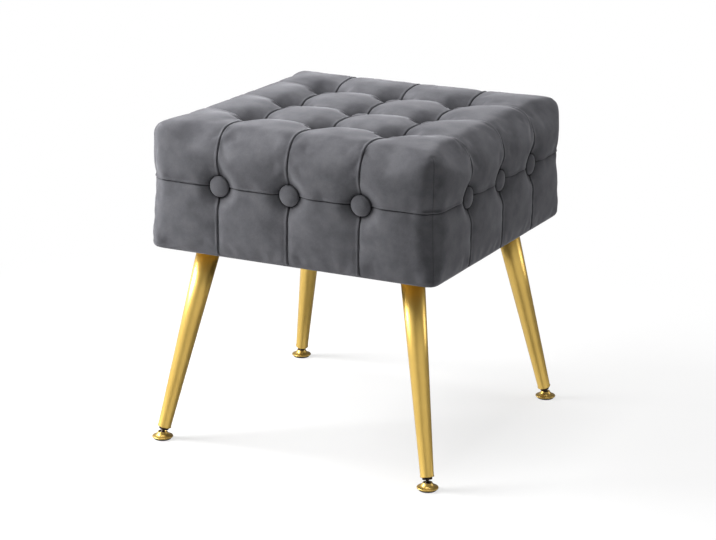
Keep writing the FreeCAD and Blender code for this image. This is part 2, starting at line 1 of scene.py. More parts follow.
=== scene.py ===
# %% [markdown]
# Tufted velvet stool: a lesson in cells
#
# The stool is a square block, buttoned through so that its velvet swells into four by
# four pillows, on four splayed, tapered metal legs. The construction model comes first
# and stays fixed. Every piece made here lies where that model says, in metres.

# %% Load the construction model
import json
import math
import time

import bmesh
import bpy
from mathutils import Matrix, Vector


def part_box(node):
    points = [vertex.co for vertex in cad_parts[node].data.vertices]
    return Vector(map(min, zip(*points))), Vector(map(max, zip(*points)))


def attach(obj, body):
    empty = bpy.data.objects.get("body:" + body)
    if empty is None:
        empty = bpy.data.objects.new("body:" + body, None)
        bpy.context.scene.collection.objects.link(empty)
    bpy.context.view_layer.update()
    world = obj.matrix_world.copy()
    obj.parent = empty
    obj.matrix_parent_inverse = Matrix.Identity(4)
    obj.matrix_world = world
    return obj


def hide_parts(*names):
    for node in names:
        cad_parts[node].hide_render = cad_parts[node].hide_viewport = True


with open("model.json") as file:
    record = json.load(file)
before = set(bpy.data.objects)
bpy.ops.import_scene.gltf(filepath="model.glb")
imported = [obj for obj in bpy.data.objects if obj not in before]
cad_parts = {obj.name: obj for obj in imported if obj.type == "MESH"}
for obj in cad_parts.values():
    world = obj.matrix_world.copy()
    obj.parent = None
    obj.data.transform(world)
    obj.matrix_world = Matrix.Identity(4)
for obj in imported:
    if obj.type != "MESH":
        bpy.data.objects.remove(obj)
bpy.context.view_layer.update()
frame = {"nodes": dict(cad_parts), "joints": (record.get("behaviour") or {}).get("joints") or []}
MM = 0.001
SAME_PLACE = 1e-6


# %% New objects and meshes
def placed(name, data):
    """A new object in the scene that shows the data it is given."""
    thing = bpy.data.objects.new(name, data)
    bpy.context.scene.collection.objects.link(thing)
    return thing


def as_mesh(name, bm):
    """Write a form to a new mesh and let go of it."""
    mesh = bpy.data.meshes.new(name)
    bm.to_mesh(mesh)
    bm.free()
    return mesh


# %% [markdown]
# Camera
#
# The photograph is taken from slightly above, with the front to the left and the right
# side to the right. Its viewpoint was found from the block's corners, the buttons and
# the feet, so the camera is placed by an azimuth, an elevation and a distance from a
# point in the block. A long lens keeps the upright lines nearly parallel.

# %% Camera
PHOTO_WIDTH = 716
FOCAL_PIXELS = 2200.0
CAMERA_AZIMUTH = math.radians(26.78)
CAMERA_ELEVATION = math.radians(16.34)
CAMERA_ROLL = math.radians(0.43)
CAMERA_DISTANCE = 2.9725
AIM_HEIGHT = 0.2114
AIM_ACROSS = -0.0033


def place_camera():
    """A camera that looks at the stool as the photograph does."""
    toward = Vector((math.sin(CAMERA_AZIMUTH) * math.cos(CAMERA_ELEVATION),
                     -math.cos(CAMERA_AZIMUTH) * math.cos(CAMERA_ELEVATION),
                     math.sin(CAMERA_ELEVATION)))
    across = Vector((math.cos(CAMERA_AZIMUTH), math.sin(CAMERA_AZIMUTH), 0.0))
    aim = Vector((0.0, 0.0, AIM_HEIGHT)) + across * AIM_ACROSS
    lens = bpy.data.cameras.new("photo_camera")
    lens.sensor_width = 36.0
    lens.lens = FOCAL_PIXELS * lens.sensor_width / PHOTO_WIDTH
    lens.clip_end = 20.0
    camera = placed("photo_camera", lens)
    camera.location = aim + toward * CAMERA_DISTANCE
    level = (-toward).to_track_quat("-Z", "Y").to_matrix()
    camera.rotation_euler = (level @ Matrix.Rotation(CAMERA_ROLL, 3, "Z")).to_euler()
    bpy.context.scene.camera = camera
    return camera


camera = place_camera()
bpy.context.scene.view_settings.view_transform = "Standard"
print("lens, mm:", round(camera.data.lens, 1))

# %% [markdown]
# Shader helpers
#
# Every finish here is a small tree of shader nodes, so one function adds a node with
# its settings and links, to the right of the last. Colours are written as hex values,
# and another function turns them to the linear values that light needs.

# %% Add a node, read a colour
NODE_STEP = 200


def add_node(tree, kind, inputs=None, **settings):
    """Add one shader node beside the last, with its settings, input values and links."""
    node = tree.nodes.new("ShaderNode" + kind)
    node.location = (NODE_STEP * len(tree.nodes), 0)
    for name, value in settings.items():
        setattr(node, name, value)
    for key, value in (inputs or {}).items():
        if isinstance(value, bpy.types.NodeSocket):
            tree.links.new(value, node.inputs[key])
        else:
            node.inputs[key].default_value = value
    return node


def linear(hex_code):
    """An sRGB hex colour as the linear RGBA that the shaders take."""
    channels = []
    for start in (1, 3, 5):
        share = int(hex_code[start:start + 2], 16) / 255
        channels.append(share / 12.92 if share <= 0.04045 else ((share + 0.055) / 1.055) ** 2.4)
    return (*channels, 1.0)


def new_material(name):
    """An empty procedural material and its node tree."""
    material = bpy.data.materials.new(name)
    material.use_nodes = True
    material.node_tree.nodes.clear()
    return material, material.node_tree


# %% [markdown]
# Studio
#
# A white sweep with soft light. A soft box close to the front left corner grazes the
# front face, so it fades from left to right as in the photograph. One from above lights
# the top, and a weak one behind keeps the shaded side open. Polished metal shows what
# stands round it, so its mirrored rays see two bright walls in a dark room. The camera
# sees plain white behind the stool, while the floor under it still takes the shadow.

# %% Lights, floor and white background
def soft_box(name, place, width, height, watts):
    """A rectangular studio lamp that points at the middle of the seat."""
    lamp = bpy.data.lights.new(name, "AREA")
    lamp.shape = "RECTANGLE"
    lamp.size = width
    lamp.size_y = height
    lamp.energy = watts
    holder = placed(name, lamp)
    holder.location = place
    holder.visible_camera = False
    away = Vector(place) - Vector(SEAT_MIDDLE)
    holder.rotation_euler = away.to_track_quat("Z", "Y").to_euler()


SEAT_MIDDLE = (0.0, 0.0, 0.35)
# Each soft box: its name, place, width, height and power in watts.
SOFT_BOXES = (("key_light", (-1.18, -0.55, 0.95), 0.7, 0.8, 46.0),
              ("top_light", (0.0, 0.0, 2.4), 0.9, 1.0, 36.0),
              ("fill_light", (2.2, 1.4, 1.0), 0.9, 1.0, 14.0))
for box in SOFT_BOXES:
    soft_box(*box)

ROOM_LIGHT = 0.06
MIRROR_DARK = 0.22
# Each wall: its direction, the cosines where it starts and is full, its brightness.
MIRROR_WALLS = (((-0.893, -0.45, 0.0), 0.1, 0.75, 1.0),
                ((0.84, -0.54, 0.0), 0.62, 0.9, 0.95))


def white_world():
    """Dim even light, white for the camera, and two bright walls for mirrors."""
    world = bpy.data.worlds.new("studio_white")
    bpy.context.scene.world = world
    world.use_nodes = True
    tree = world.node_tree
    tree.nodes.clear()
    rays = add_node(tree, "LightPath").outputs
    through = add_node(tree, "Math", {0: rays["Is Camera Ray"],
                                      1: rays["Is Transmission Ray"]}, operation="MAXIMUM")
    way = add_node(tree, "TexCoord").outputs["Generated"]
    walls = []
    for toward, start, full, bright in MIRROR_WALLS:
        facing = add_node(tree, "VectorMath", {0: way, 1: toward}, operation="DOT_PRODUCT")
        wall = add_node(tree, "MapRange",
                        {"Value": facing.outputs["Value"], "From Min": start,
                         "From Max": full, "To Min": MIRROR_DARK, "To Max": bright},
                        interpolation_type="SMOOTHSTEP")
        walls.append(wall.outputs["Result"])
    both_walls = add_node(tree, "Math", {0: walls[0], 1: walls[1]}, operation="MAXIMUM")
    room, mirrored, backdrop = [
        add_node(tree, "Background",
                 {"Color": linear("#ffffff"), "Strength": strength}).outputs[0]
        for strength in (ROOM_LIGHT, both_walls.outputs[0], 1.0)]
    lit = add_node(tree, "MixShader", {0: rays["Is Glossy Ray"], 1: room, 2: mirrored})
    mix = add_node(tree, "MixShader",
                   {0: through.outputs[0], 1: lit.outputs[0], 2: backdrop})
    add_node(tree, "OutputWorld", {"Surface": mix.outputs[0]})


white_world()

FLOOR_HALF = 6.0
SHADOW_SHOWN = 0.30
SHADOW_FADE_START = 0.35
SHADOW_FADE_END = 0.95


def studio_floor():
    """A large white floor: the camera sees its shadow softened, and white further out."""
    bm = bmesh.new()
    bmesh.ops.create_grid(bm, x_segments=1, y_segments=1, size=FLOOR_HALF)
    mesh = as_mesh("studio_floor", bm)
    floor = placed("studio_floor", mesh)
    paper, tree = new_material("matte white paper")
    spot = add_node(tree, "TexCoord").outputs["Object"]
    away = add_node(tree, "VectorMath", {0: spot}, operation="LENGTH")
    near = add_node(tree, "MapRange",
                    {"Value": away.outputs["Value"], "From Min": SHADOW_FADE_START,
                     "From Max": SHADOW_FADE_END, "To Min": SHADOW_SHOWN, "To Max": 0.0},
                    interpolation_type="SMOOTHSTEP")
    hidden = add_node(tree, "Math", {0: 1.0, 1: near.outputs["Result"]},
                      operation="SUBTRACT")
    seen = add_node(tree, "LightPath").outputs["Is Camera Ray"]
    share = add_node(tree, "Math", {0: hidden.outputs[0], 1: seen}, operation="MULTIPLY")
    shade = add_node(tree, "BsdfDiffuse", {"Color": linear("#f6f6f6")})
    glow = add_node(tree, "Emission", {"Color": linear("#ffffff"), "Strength": 1.0})
    both = add_node(tree, "MixShader",
                    {0: share.outputs[0], 1: shade.outputs[0], 2: glow.outputs[0]})
    add_node(tree, "OutputMaterial", {"Surface": both.outputs[0]})
    mesh.materials.append(paper)
    floor.visible_glossy = False


studio_floor()
print("studio ready")

# %% [markdown]
# Making a piece
#
# Every piece is a bmesh that becomes an object at the origin, with its place in its
# mesh. One small function does that, smooths the faces and gives the piece its body,
# its material slot and its material.

# %% Turn a bmesh into a piece
def finish_piece(name, bm, material, slot, body, *stands_for):
    """Write the mesh, and say what it rides on and which nodes it stands for."""
    for face in bm.faces:
        face.smooth = True
    mesh = as_mesh(name, bm)
    piece = placed(name, mesh)
    mesh.materials.append(material)
    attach(piece, body)
    if stands_for:
        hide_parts(*stands_for)
    print(name, len(mesh.polygons), "faces")
    return piece


def everything(bm):
    """All points, edges and faces of a form."""
    return bm.verts[:] + bm.edges[:] + bm.faces[:]


def moved_verts(grown):
    """The points that an extrusion made."""
    return [item for item in grown["geom"] if isinstance(item, bmesh.types.BMVert)]


# %% [markdown]
# Velvet
#
# Velvet is a pile cloth: short cut fibres stand on a woven ground. Looked at straight,
# the eye falls between the fibres and sees a deep grey, while at a grazing angle it
# sees their sides, which is paler. That is a sheen over a dull ground. The pile also
# leans this way and that where hands have brushed it, so the grey drifts in soft
# patches 20 to 60 mm wide, and each fibre tip catches the light as a fine grain.

# %% Velvet material
VELVET_GROUND = "#616165"
VELVET_DEEP = "#4d4d51"
# The near-black colour of the painted shade in the velvet's slits and round its buttons.
SLIT_SHADE_COLOUR = "#1c1c1e"
# Painted shade: how dark the velvet's colour gets where the cover lies deepest in its creases and
# wells.
VELVET_HOLLOW_SHADE = 0.42
VELVET_PATCH = 0.030
VELVET_NAP = 0.0011


def velvet_material():
    """Mid-grey polyester velvet: cut pile, brushed by hand, with painted shade in its seams and
    hollows.
    """
    material, tree = new_material("polyester velvet, cut pile")
    spot = add_node(tree, "TexCoord").outputs["Object"]
    patches = add_node(tree, "TexNoise",
                       {"Vector": spot, "Scale": 1 / VELVET_PATCH, "Detail": 3.0,
                        "Roughness": 0.55})
    nap = add_node(tree, "TexNoise", {"Vector": spot, "Scale": 1 / VELVET_NAP,
                                      "Detail": 2.0, "Roughness": 0.6})
    spread = add_node(tree, "MapRange", {"Value": patches.outputs["Fac"],
                                         "From Min": 0.3, "From Max": 0.7})
    ground = add_node(tree, "Mix",
                      {"Factor": spread.outputs["Result"], 6: linear(VELVET_DEEP),
                       7: linear(VELVET_GROUND)}, data_type="RGBA")
    grain = add_node(tree, "MapRange",
                     {"Value": nap.outputs["Fac"], "From Min": 0.25, "From Max": 0.75,
                      "To Min": 0.88, "To Max": 1.08})
    # Painted shade: the colour is darkened where the cover lies deep in its creases and button
    # wells.
    hollow_shade = add_node(tree, "Attribute", attribute_name="hollow_shade")
    hollow_darkening = add_node(tree, "MapRange", {"Value": hollow_shade.outputs["Fac"], "To Min": 1.0,
                                          "To Max": VELVET_HOLLOW_SHADE})
    colour = ground.outputs[2]
    for shade in (grain, hollow_darkening):
        colour = add_node(tree, "VectorMath",
                          {0: colour, "Scale": shade.outputs["Result"]},
                          operation="SCALE").outputs[0]
    bump = add_node(tree, "Bump", {"Height": nap.outputs["Fac"], "Strength": 0.25,
                                   "Distance": 0.4 * MM})
    shader = add_node(tree, "BsdfPrincipled",
                      {"Base Color": colour, "Roughness": 0.92,
                       "Specular IOR Level": 0.12, "Sheen Weight": 0.4,
                       "Sheen Roughness": 0.35, "Sheen Tint": linear("#d8d8de"),
                       "Normal": bump.outputs["Normal"]})
    # Painted shade: the seam attribute mixes a near-black cloth into the velvet in slits, corner
    # seams and button rings.
    slit_shade_share = add_node(tree, "Attribute", attribute_name="seam")
    slit_shade_shader = add_node(tree, "BsdfDiffuse", {"Color": linear(SLIT_SHADE_COLOUR)})
    sewn = add_node(tree, "MixShader",
                    {0: slit_shade_share.outputs["Fac"], 1: shader.outputs[0], 2: slit_shade_shader.outputs[0]})
    add_node(tree, "OutputMaterial", {"Surface": sewn.outputs[0]})
    return material


velvet = velvet_material()

# %% [markdown]
# The tufted block: what it is
#
# The cover is one padded box. Twine pulls a button into the top at nine crossings, and
# into each side at three, and the velvet between them is folded into straight sewn
# creases. So the block is first cut as a box along the crease lines, then its edges
# are rolled, and then every crease, well and seam is pressed into it as a depth below
# the full form. A grid that follows the creases keeps each fold a clean line, which a
# sculpted blob would not. The box starts a few millimetres inside the cover's solid,
# because the pillows swell out of it again.

# %% Places of the creases and the buttons, read from the construction model
TOP_BULGE = 2 * MM
SIDE_BULGE = 4 * MM
SIDE_ROOM = 2.5 * MM
CROWN_ROOM = 3 * MM
CUT_ROOM = 2 * MM
EDGE_SLACK = 0.1 * MM
cover_low, cover_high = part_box("velvet_cover")
HALF = cover_high.x - SIDE_ROOM
UNDER = cover_low.z
CROWN = cover_high.z - CROWN_ROOM
HEIGHT = CROWN - UNDER
corner_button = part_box("top_button_3_3")
PITCH = (corner_button[0].x + corner_button[1].x) / 2
side_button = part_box("front_button_2")
SEAM = (side_button[0].z + side_button[1].z) / 2
CREASES = (-PITCH, 0.0, PITCH)
print("half width", HALF, "pitch", PITCH, "seam", SEAM, "crown", CROWN)

# %% Cut the box along graded lines
FINE_STEPS = [s * MM for s in (1.5, 4.0, 7.5, 12.0, 17.0, 22.0, 28.0, 34.5, 41.5)]


def graded(start, stop):
    """Cut places between two creases, close together near each of them."""
    middle = (start + stop) / 2
    places = [start, middle]
    for step in FINE_STEPS:
        if step < (stop - start) / 2 - CUT_ROOM:
            places += [start + step, stop - step]
    return sorted(places)


across_cuts = []
for start, stop in zip((-HALF, *CREASES), (*CREASES, HALF)):
    across_cuts += graded(start, stop)
across_cuts = across_cuts[1:]
upright_cuts = graded(UNDER, SEAM)[1:] + graded(SEAM, CROWN)


def cut_box():
    """The box of the cover with its grid of cuts."""
    bm = bmesh.new()
    bmesh.ops.create_cube(bm, size=1.0)
    bmesh.ops.scale(bm, vec=(2 * HALF, 2 * HALF, HEIGHT), verts=bm.verts)
    bmesh.ops.translate(bm, vec=(0, 0, (UNDER + CROWN) / 2), verts=bm.verts)
    for axis, cuts in ((0, across_cuts), (1, across_cuts), (2, upright_cuts)):
        normal = [0, 0, 0]
        normal[axis] = 1
        for cut in cuts:
            spot = [0, 0, 0]
            spot[axis] = cut
            bmesh.ops.bisect_plane(bm, geom=everything(bm), plane_co=spot,
                                   plane_no=normal, dist=SAME_PLACE)
    return bm


started = time.time()
block = cut_box()
cut_place = block.verts.layers.float_vector.new("cut_place")
for vert in block.verts:
    vert[cut_place] = vert.co
print("cut box:", len(block.faces), "faces,", round(time.time() - started, 1), "s")

# %% [markdown]
# Rolled edges
#
# Wadding rounds every edge of the block. The top edge rolls over 27 mm inward and 43 mm
# down, and less near the corners. The bottom edge is pulled tight round the board. In
# plan the corners bend by 15 mm at the bottom and by 30 mm from near the level seam up.
# Each point of the box is moved straight to the rolled form, so creases stay in line.

# %% Roll the edges
TOP_ROLL = 27 * MM
ROLL_EXTRA = 16 * MM
CORNER_ROLL = 15 * MM
BOTTOM_TUCK_IN = 5 * MM
BOTTOM_TUCK_UP = 9 * MM
CORNER_SIDE = 30 * MM
CORNER_BOTTOM = 15 * MM
CORNER_POWER = 2.6
CORNER_FADE = 40 * MM
CORNER_CHANGE = 20 * MM
STRAIGHT_REACH = 120 * MM
SOFT_REACH = 70 * MM


def smooth_step(value, low, high):
    """Rise from 0 to 1 between two values, level at both ends."""
    share = min(1.0, max(0.0, (value - low) / (high - low)))
    return share * share * (3 - 2 * share)


def rolled(reach, height, sideways):
    """Roll one profile point: its reach from the axis, height and sideways place."""
    soft = smooth_step(HALF - sideways, 0, SOFT_REACH)
    roll = CORNER_ROLL + (TOP_ROLL - CORNER_ROLL) * soft
    roll_height = roll + ROLL_EXTRA * soft
    over = Vector(((reach - (HALF - roll)) / roll,
                   (height - (CROWN - roll_height)) / roll_height))
    if over.x > 0 and over.y > 0:
        over = over.normalized()
        return (HALF - roll * (1 - over.x), CROWN - roll_height * (1 - over.y))
    under = Vector(((reach - (HALF - BOTTOM_TUCK_IN)) / BOTTOM_TUCK_IN,
                    (UNDER + BOTTOM_TUCK_UP - height) / BOTTOM_TUCK_UP))
    if under.x > 0 and under.y > 0:
        under = under.normalized()
        return (HALF - BOTTOM_TUCK_IN * (1 - under.x),
                UNDER + BOTTOM_TUCK_UP * (1 - under.y))
    return reach, height


def corner_bend(reach, height):
    """Radius of the plan's corner at one place of the profile."""
    lift = smooth_step(height, UNDER, SEAM - CORNER_CHANGE)
    bend = CORNER_BOTTOM + (CORNER_SIDE - CORNER_BOTTOM) * lift
    inward = HALF - TOP_ROLL - reach
    if inward > 0 and height > SEAM:
        bend *= max(0.0, 1 - inward / CORNER_FADE)
    return bend


def roll_point(spot):
    """Move one point of the box to the rolled form."""
    reach = max(abs(spot.x), abs(spot.y))
    new_reach, height = rolled(reach, spot.z, min(abs(spot.x), abs(spot.y)))
    plan = []
    for value in (spot.x, spot.y):
        size = abs(value)
        if size > STRAIGHT_REACH and reach > STRAIGHT_REACH:
            share = (size - STRAIGHT_REACH) / (reach - STRAIGHT_REACH)
            size = STRAIGHT_REACH + share * (new_reach - STRAIGHT_REACH)
        plan.append(size)
    bend = corner_bend(new_reach, height)
    out = Vector((plan[0] - (new_reach - bend), plan[1] - (new_reach - bend)))
    if bend > 0 and out.x > 0 and out.y > 0:
        size = (out.x ** CORNER_POWER + out.y ** CORNER_POWER) ** (1 / CORNER_POWER)
        out *= bend / max(size, 1e-9)
        plan = [new_reach - bend + out.x, new_reach - bend + out.y]
    return Vector((math.copysign(plan[0], spot.x), math.copysign(plan[1], spot.y), height))


for vert in block.verts:
    vert.co = roll_point(vert.co)
block.normal_update()
print("rolled form ready")

# %% [markdown]
# Creases and wells
#
# The buttons do the pulling. A crease is deepest at its buttons, shallower between two
# of them, and runs out over the edge as a thin sewn seam that hardly dips. Across a
# crease the velvet rises steeply and then levels off at the pillow's crown. So each
# family of creases gives a broad pull and a thin seam, each button adds a round well,
# and all are blended so that the deepest wins without leaving an edge.

# %% Depth below the full form
PUFF_REACH = 50 * MM
SEAM_REACH = 13 * MM
SEAM_DEPTH = 1.2 * MM
TOP_CROSSING = 16 * MM
TOP_BETWEEN = 8 * MM
UPRIGHT_CROSSING = 5.5 * MM
UPRIGHT_BETWEEN = 1.5 * MM
LEVEL_CROSSING = 6 * MM
LEVEL_BETWEEN = 1.5 * MM
TOP_TIE_REACH = 60 * MM
EDGE_CREASE_REACH = 78 * MM
EDGE_CREASE_POWER = 1.4
UPRIGHT_EASE = 0.5
UPRIGHT_EASE_START = 45 * MM
UPRIGHT_EASE_END = 75 * MM
SIDE_TIE_REACH = 50 * MM
TOP_WELL = 17 * MM
SIDE_WELL = 6.5 * MM
WELL_RIM = 13 * MM
TOP_WELL_REACH = 47 * MM
SIDE_WELL_REACH = 40 * MM
WELL_POWER = 1.5
CORNER_DIP = 1.2 * MM
CORNER_DIP_START = 40 * MM
CORNER_DIP_FULL = 4 * MM
HEM_RISE = 4 * MM
EDGE_DROP = 3 * MM
MIDDLE_SINK = 3.5 * MM
MIDDLE_SINK_START = 50 * MM
MIDDLE_SINK_REACH = 150 * MM
EDGE_DROP_REACH = 75 * MM
# Depths at which the painted shade in creases and wells is full, and the share of them where it
# starts.
TOP_FULL_SHADE_DEPTH = 22 * MM
SIDE_FULL_SHADE_DEPTH = 8.5 * MM
SHADE_START_SHARE = 0.4
BLEND_POWER = 3.0
TOP_FULL = 0.2
EDGE_PILLOW_SCALE = 3.494
SEAM_SHARE = 0.15


def crease_fall(distance, reach):
    """Share of a crease's depth left at a distance from it: 1 in it, 0 at the crown."""
    return max(0.0, 1 - distance / reach) ** 2


def nearest(value):
    """Distance from the nearest crease of one direction."""
    return min(abs(value - crease) for crease in CREASES)


def along_face(spot):
    """A point's place along the side face that it is on."""
    return spot.x if abs(spot.y) > abs(spot.x) else spot.y


def from_button(spot, on_top):
    """Distance from the nearest button of the top or of a side."""
    if on_top:
        return math.hypot(nearest(spot.x), nearest(spot.y))
    return math.hypot(nearest(along_face(spot)), spot.z - SEAM)


def pulled(between, crossing, away, reach):
    """Depth of a crease that lies between two depths, deepest at its buttons."""
    return between + (crossing - between) * crease_fall(away, reach)


def well(depth, away, reach):
    """Depth of the round well of a button, at a distance from its middle."""
    return depth * (1 - smooth_step(away, WELL_RIM, reach)) ** WELL_POWER


def blended(depths):
    """The deepest of several depths, with no edge where two of them meet."""
    return sum(depth ** BLEND_POWER for depth in depths) ** (1 / BLEND_POWER)


def depth_at(spot, normal):
    """How far inward the velvet lies below the full form."""
    top = smooth_step(spot.z, CROWN - TOP_ROLL, CROWN - TOP_ROLL * TOP_FULL)
    from_seam = abs(spot.z - SEAM)
    upright = pulled(UPRIGHT_BETWEEN, UPRIGHT_CROSSING, from_seam, SIDE_TIE_REACH)
    eased = smooth_step(from_seam, UPRIGHT_EASE_START, UPRIGHT_EASE_END)
    upright *= 1 - UPRIGHT_EASE * eased
    depths = []
    for across, along in ((spot.x, spot.y), (spot.y, spot.x)):
        if abs(along) < PITCH:
            deep = pulled(TOP_BETWEEN, TOP_CROSSING, nearest(along), TOP_TIE_REACH)
        else:
            left = max(0.0, 1 - nearest(along) / EDGE_CREASE_REACH)
            deep = TOP_CROSSING * left ** EDGE_CREASE_POWER
        deep = upright + (deep - upright) * top
        away = nearest(across)
        depths.append(deep * crease_fall(away, PUFF_REACH))
        depths.append(SEAM_DEPTH * crease_fall(away, SEAM_REACH))
    sideways = along_face(spot)
    level = pulled(LEVEL_BETWEEN, LEVEL_CROSSING, nearest(sideways), SIDE_TIE_REACH)
    depths.append(level * crease_fall(from_seam, PUFF_REACH) * (1 - top))
    depths.append(SEAM_DEPTH * crease_fall(from_seam, SEAM_REACH) * (1 - top))
    if normal.z > 0.5:
        depths.append(well(TOP_WELL, from_button(spot, True), TOP_WELL_REACH))
    elif normal.z > -0.5:
        depths.append(well(SIDE_WELL, from_button(spot, False), SIDE_WELL_REACH))
        corner = smooth_step(abs(sideways), HALF - CORNER_DIP_START, HALF - CORNER_DIP_FULL)
        depths.append(CORNER_DIP * corner * crease_fall(from_seam, PUFF_REACH))
    under = smooth_step(spot.z, UNDER, UNDER + HEM_RISE)
    return under * blended(depths)


def full_pillow(share):
    """Swell between two seams: 1 midway, and steep at both."""
    return 1 - (2 * share - 1) ** 2


def edge_pillow(share):
    """Swell from a seam to a rolled edge: steep at the seam, level at the edge."""
    return EDGE_PILLOW_SCALE * share * (1 - share ** 2) ** 2


def across_pillow(value, outer_form):
    """Swell over the four pillows of one direction, for a place across the block."""
    size = abs(value)
    if size < PITCH:
        return full_pillow(SEAM_SHARE + (1 - 2 * SEAM_SHARE) * size / PITCH)
    outer = SEAM_SHARE + (1 - SEAM_SHARE) * (size - PITCH) / (HALF - PITCH)
    return outer_form(min(1.0, outer))


def bulge_at(place):
    """How far the wadding swells a pillow out, for a place on the cut box."""
    if place.z > CROWN - EDGE_SLACK:
        return (TOP_BULGE * across_pillow(place.x, edge_pillow)
                * across_pillow(place.y, edge_pillow))
    if place.z > SEAM:
        upright = edge_pillow(SEAM_SHARE + (1 - SEAM_SHARE) * (place.z - SEAM)
                              / (CROWN - SEAM))
    else:
        upright = full_pillow((1 - SEAM_SHARE) * max(0.0, place.z - UNDER)
                              / (SEAM - UNDER))
    return SIDE_BULGE * across_pillow(along_face(place), full_pillow) * upright


def edge_drop(spot):
    """How far the crown sinks towards its edge, fading out down the sides."""
    inward = HALF - TOP_ROLL - max(abs(spot.x), abs(spot.y))
    share = min(1.0, max(0.0, 1 - inward / EDGE_DROP_REACH)) ** 2
    return EDGE_DROP * share * smooth_step(spot.z, SEAM, CROWN - TOP_ROLL)


def middle_sink(spot, depth):
    """How far the ties draw the middle pillows down, fading out inside the wells."""
    reach = max(abs(spot.x), abs(spot.y))
    share = 1 - smooth_step(reach, MIDDLE_SINK_START, MIDDLE_SINK_REACH)
    return MIDDLE_SINK * share * (1 - smooth_step(depth, 0, TOP_CROSSING))


def press_in(bm):
    """Press in the creases, swell the pillows, and note a painted shade share from how deep each
    point lies.
    """
    hollow_shade = bm.verts.layers.float.new("hollow_shade")
    cut = bm.verts.layers.float_vector["cut_place"]
    moves = []
    for vert in bm.verts:
        depth = depth_at(vert.co, vert.normal)
        full = TOP_FULL_SHADE_DEPTH if vert.normal.z > 0.5 else SIDE_FULL_SHADE_DEPTH
        # Painted shade: the deeper a point lies, the darker its colour is painted.
        vert[hollow_shade] = smooth_step(depth, SHADE_START_SHARE * full, full)
        outward = bulge_at(vert[cut]) - depth
        lower = edge_drop(vert.co)
        if vert.normal.z > 0.5:
            lower += middle_sink(vert.co, depth)
        moves.append(vert.normal * outward - Vector((0, 0, lower)))
    for vert, move in zip(bm.verts, moves):
        vert.co += move
    bm.normal_update()


press_in(block)
print("creases pressed")

# %% [markdown]
# Stuffing by cloth simulation
#
# The pressed form is too regular: real velvet is a flat cloth that is blown out by its
# wadding and held by its seams. So the form is given to Blender's cloth, which is
# fixed along every crease and corner, round every button and underneath. It is a little
# too large for its frame, and pressure blows it out, which gives the small slack folds
# along the seams. A cap on how far a point may move keeps the folds small.

# %% Blow the cover out
HELD_GROUP = "held"
SWELL_CAP = 1.2 * MM
CLOTH_FRAMES = 20
HELD_NEAR = 0.5 * MM
HELD_HEM = 6 * MM
HELD_RING_NEAR = 14 * MM
HELD_RING_FAR = 18 * MM


def held_share(place):
    """1 where the cover is sewn or stapled, 0 where it is free."""
    on_top = place.z > CROWN - MM
    away = []
    if abs(place.x) < HALF - MM or on_top:
        away.append(nearest(place.x))
    if abs(place.y) < HALF - MM or on_top:
        away.append(nearest(place.y))
    if not on_top:
        away.append(abs(place.z - SEAM))
    at_corner = min(abs(place.x), abs(place.y)) > HALF - MM and not on_top
    if min(away) < HELD_NEAR or place.z < UNDER + HELD_HEM or at_corner:
        return 1.0
    return 1.0 - smooth_step(from_button(place, on_top), HELD_RING_NEAR, HELD_RING_FAR)


def blow_out(mesh, places):
    """Run the cloth on a copy of the mesh and return where its points end."""
    copy = placed("cloth_copy", mesh.copy())
    group = copy.vertex_groups.new(name=HELD_GROUP)
    for index, place in enumerate(places):
        share = held_share(place)
        if share > 0:
            group.add([index], share, "REPLACE")
    cloth = copy.modifiers.new("cloth", "CLOTH")
    settings = cloth.settings
    settings.quality = 6
    settings.mass = 0.1
    settings.tension_stiffness = 12
    settings.compression_stiffness = 12
    settings.shear_stiffness = 4
    settings.bending_stiffness = 1.5
    settings.use_pressure = True
    settings.uniform_pressure_force = 4
    settings.shrink_min = -0.015
    settings.effector_weights.gravity = 0
    settings.vertex_group_mass = HELD_GROUP
    cloth.point_cache.frame_start = 1
    cloth.point_cache.frame_end = CLOTH_FRAMES
    for step in range(1, CLOTH_FRAMES + 1):
        bpy.context.scene.frame_set(step)
    graph = bpy.context.evaluated_depsgraph_get()
    blown = [vert.co.copy() for vert in copy.evaluated_get(graph).data.vertices]
    old = copy.data
    bpy.data.objects.remove(copy)
    bpy.data.meshes.remove(old)
    bpy.context.scene.frame_set(1)
    return blown


def swell(bm, layer):
    """Move every point towards its blown place, by no more than the cap."""
    mesh = bpy.data.meshes.new("cloth_start")
    bm.verts.index_update()
    places = [vert[layer].copy() for vert in bm.verts]
    bm.to_mesh(mesh)
    blown = blow_out(mesh, places)
    longest = 0.0
    for vert, end in zip(bm.verts, blown):
        move = end - vert.co
        longest = max(longest, move.length)
        if move.length > SWELL_CAP:
            move = move.normalized() * SWELL_CAP
        vert.co += move
    bpy.data.meshes.remove(mesh)
    bm.normal_update()
    print("cloth moved up to", round(longest / MM, 1), "mm")


started = time.time()
swell(block, cut_place)
print("cloth took", round(time.time() - started, 1), "s")

# %% [markdown]
# Seams and tucks
#
# Each crease is a fold of velvet sewn down: a slit, with the folded side standing
# up beside it as a narrow ridge. The slit and the corner seams are darkened with
# painted shade in the velvet's colour. The ridge lies to the left of an upright seam in
# front, and behind it on the left and right faces. Seams are narrower than the cloth's
# grid, so they come last, on the subdivided mesh. Every point still knows its place on
# the box that was cut first, which gives its distance from each seam.

# %% Subdivide, then sew the seams
SLIT_DEPTH = 1.3 * MM
SLIT_WIDTH = 0.5 * MM
SLIT_SHADE = 0.6
TUCK_RISE = 1.2 * MM
TUCK_PLACE = 1.9 * MM
TUCK_WIDTH = 1.0 * MM
CORNER_SLIT_DEPTH = 0.8 * MM
# How dark the painted shade is along a corner's upright seam.
CORNER_SLIT_SHADE = 0.7
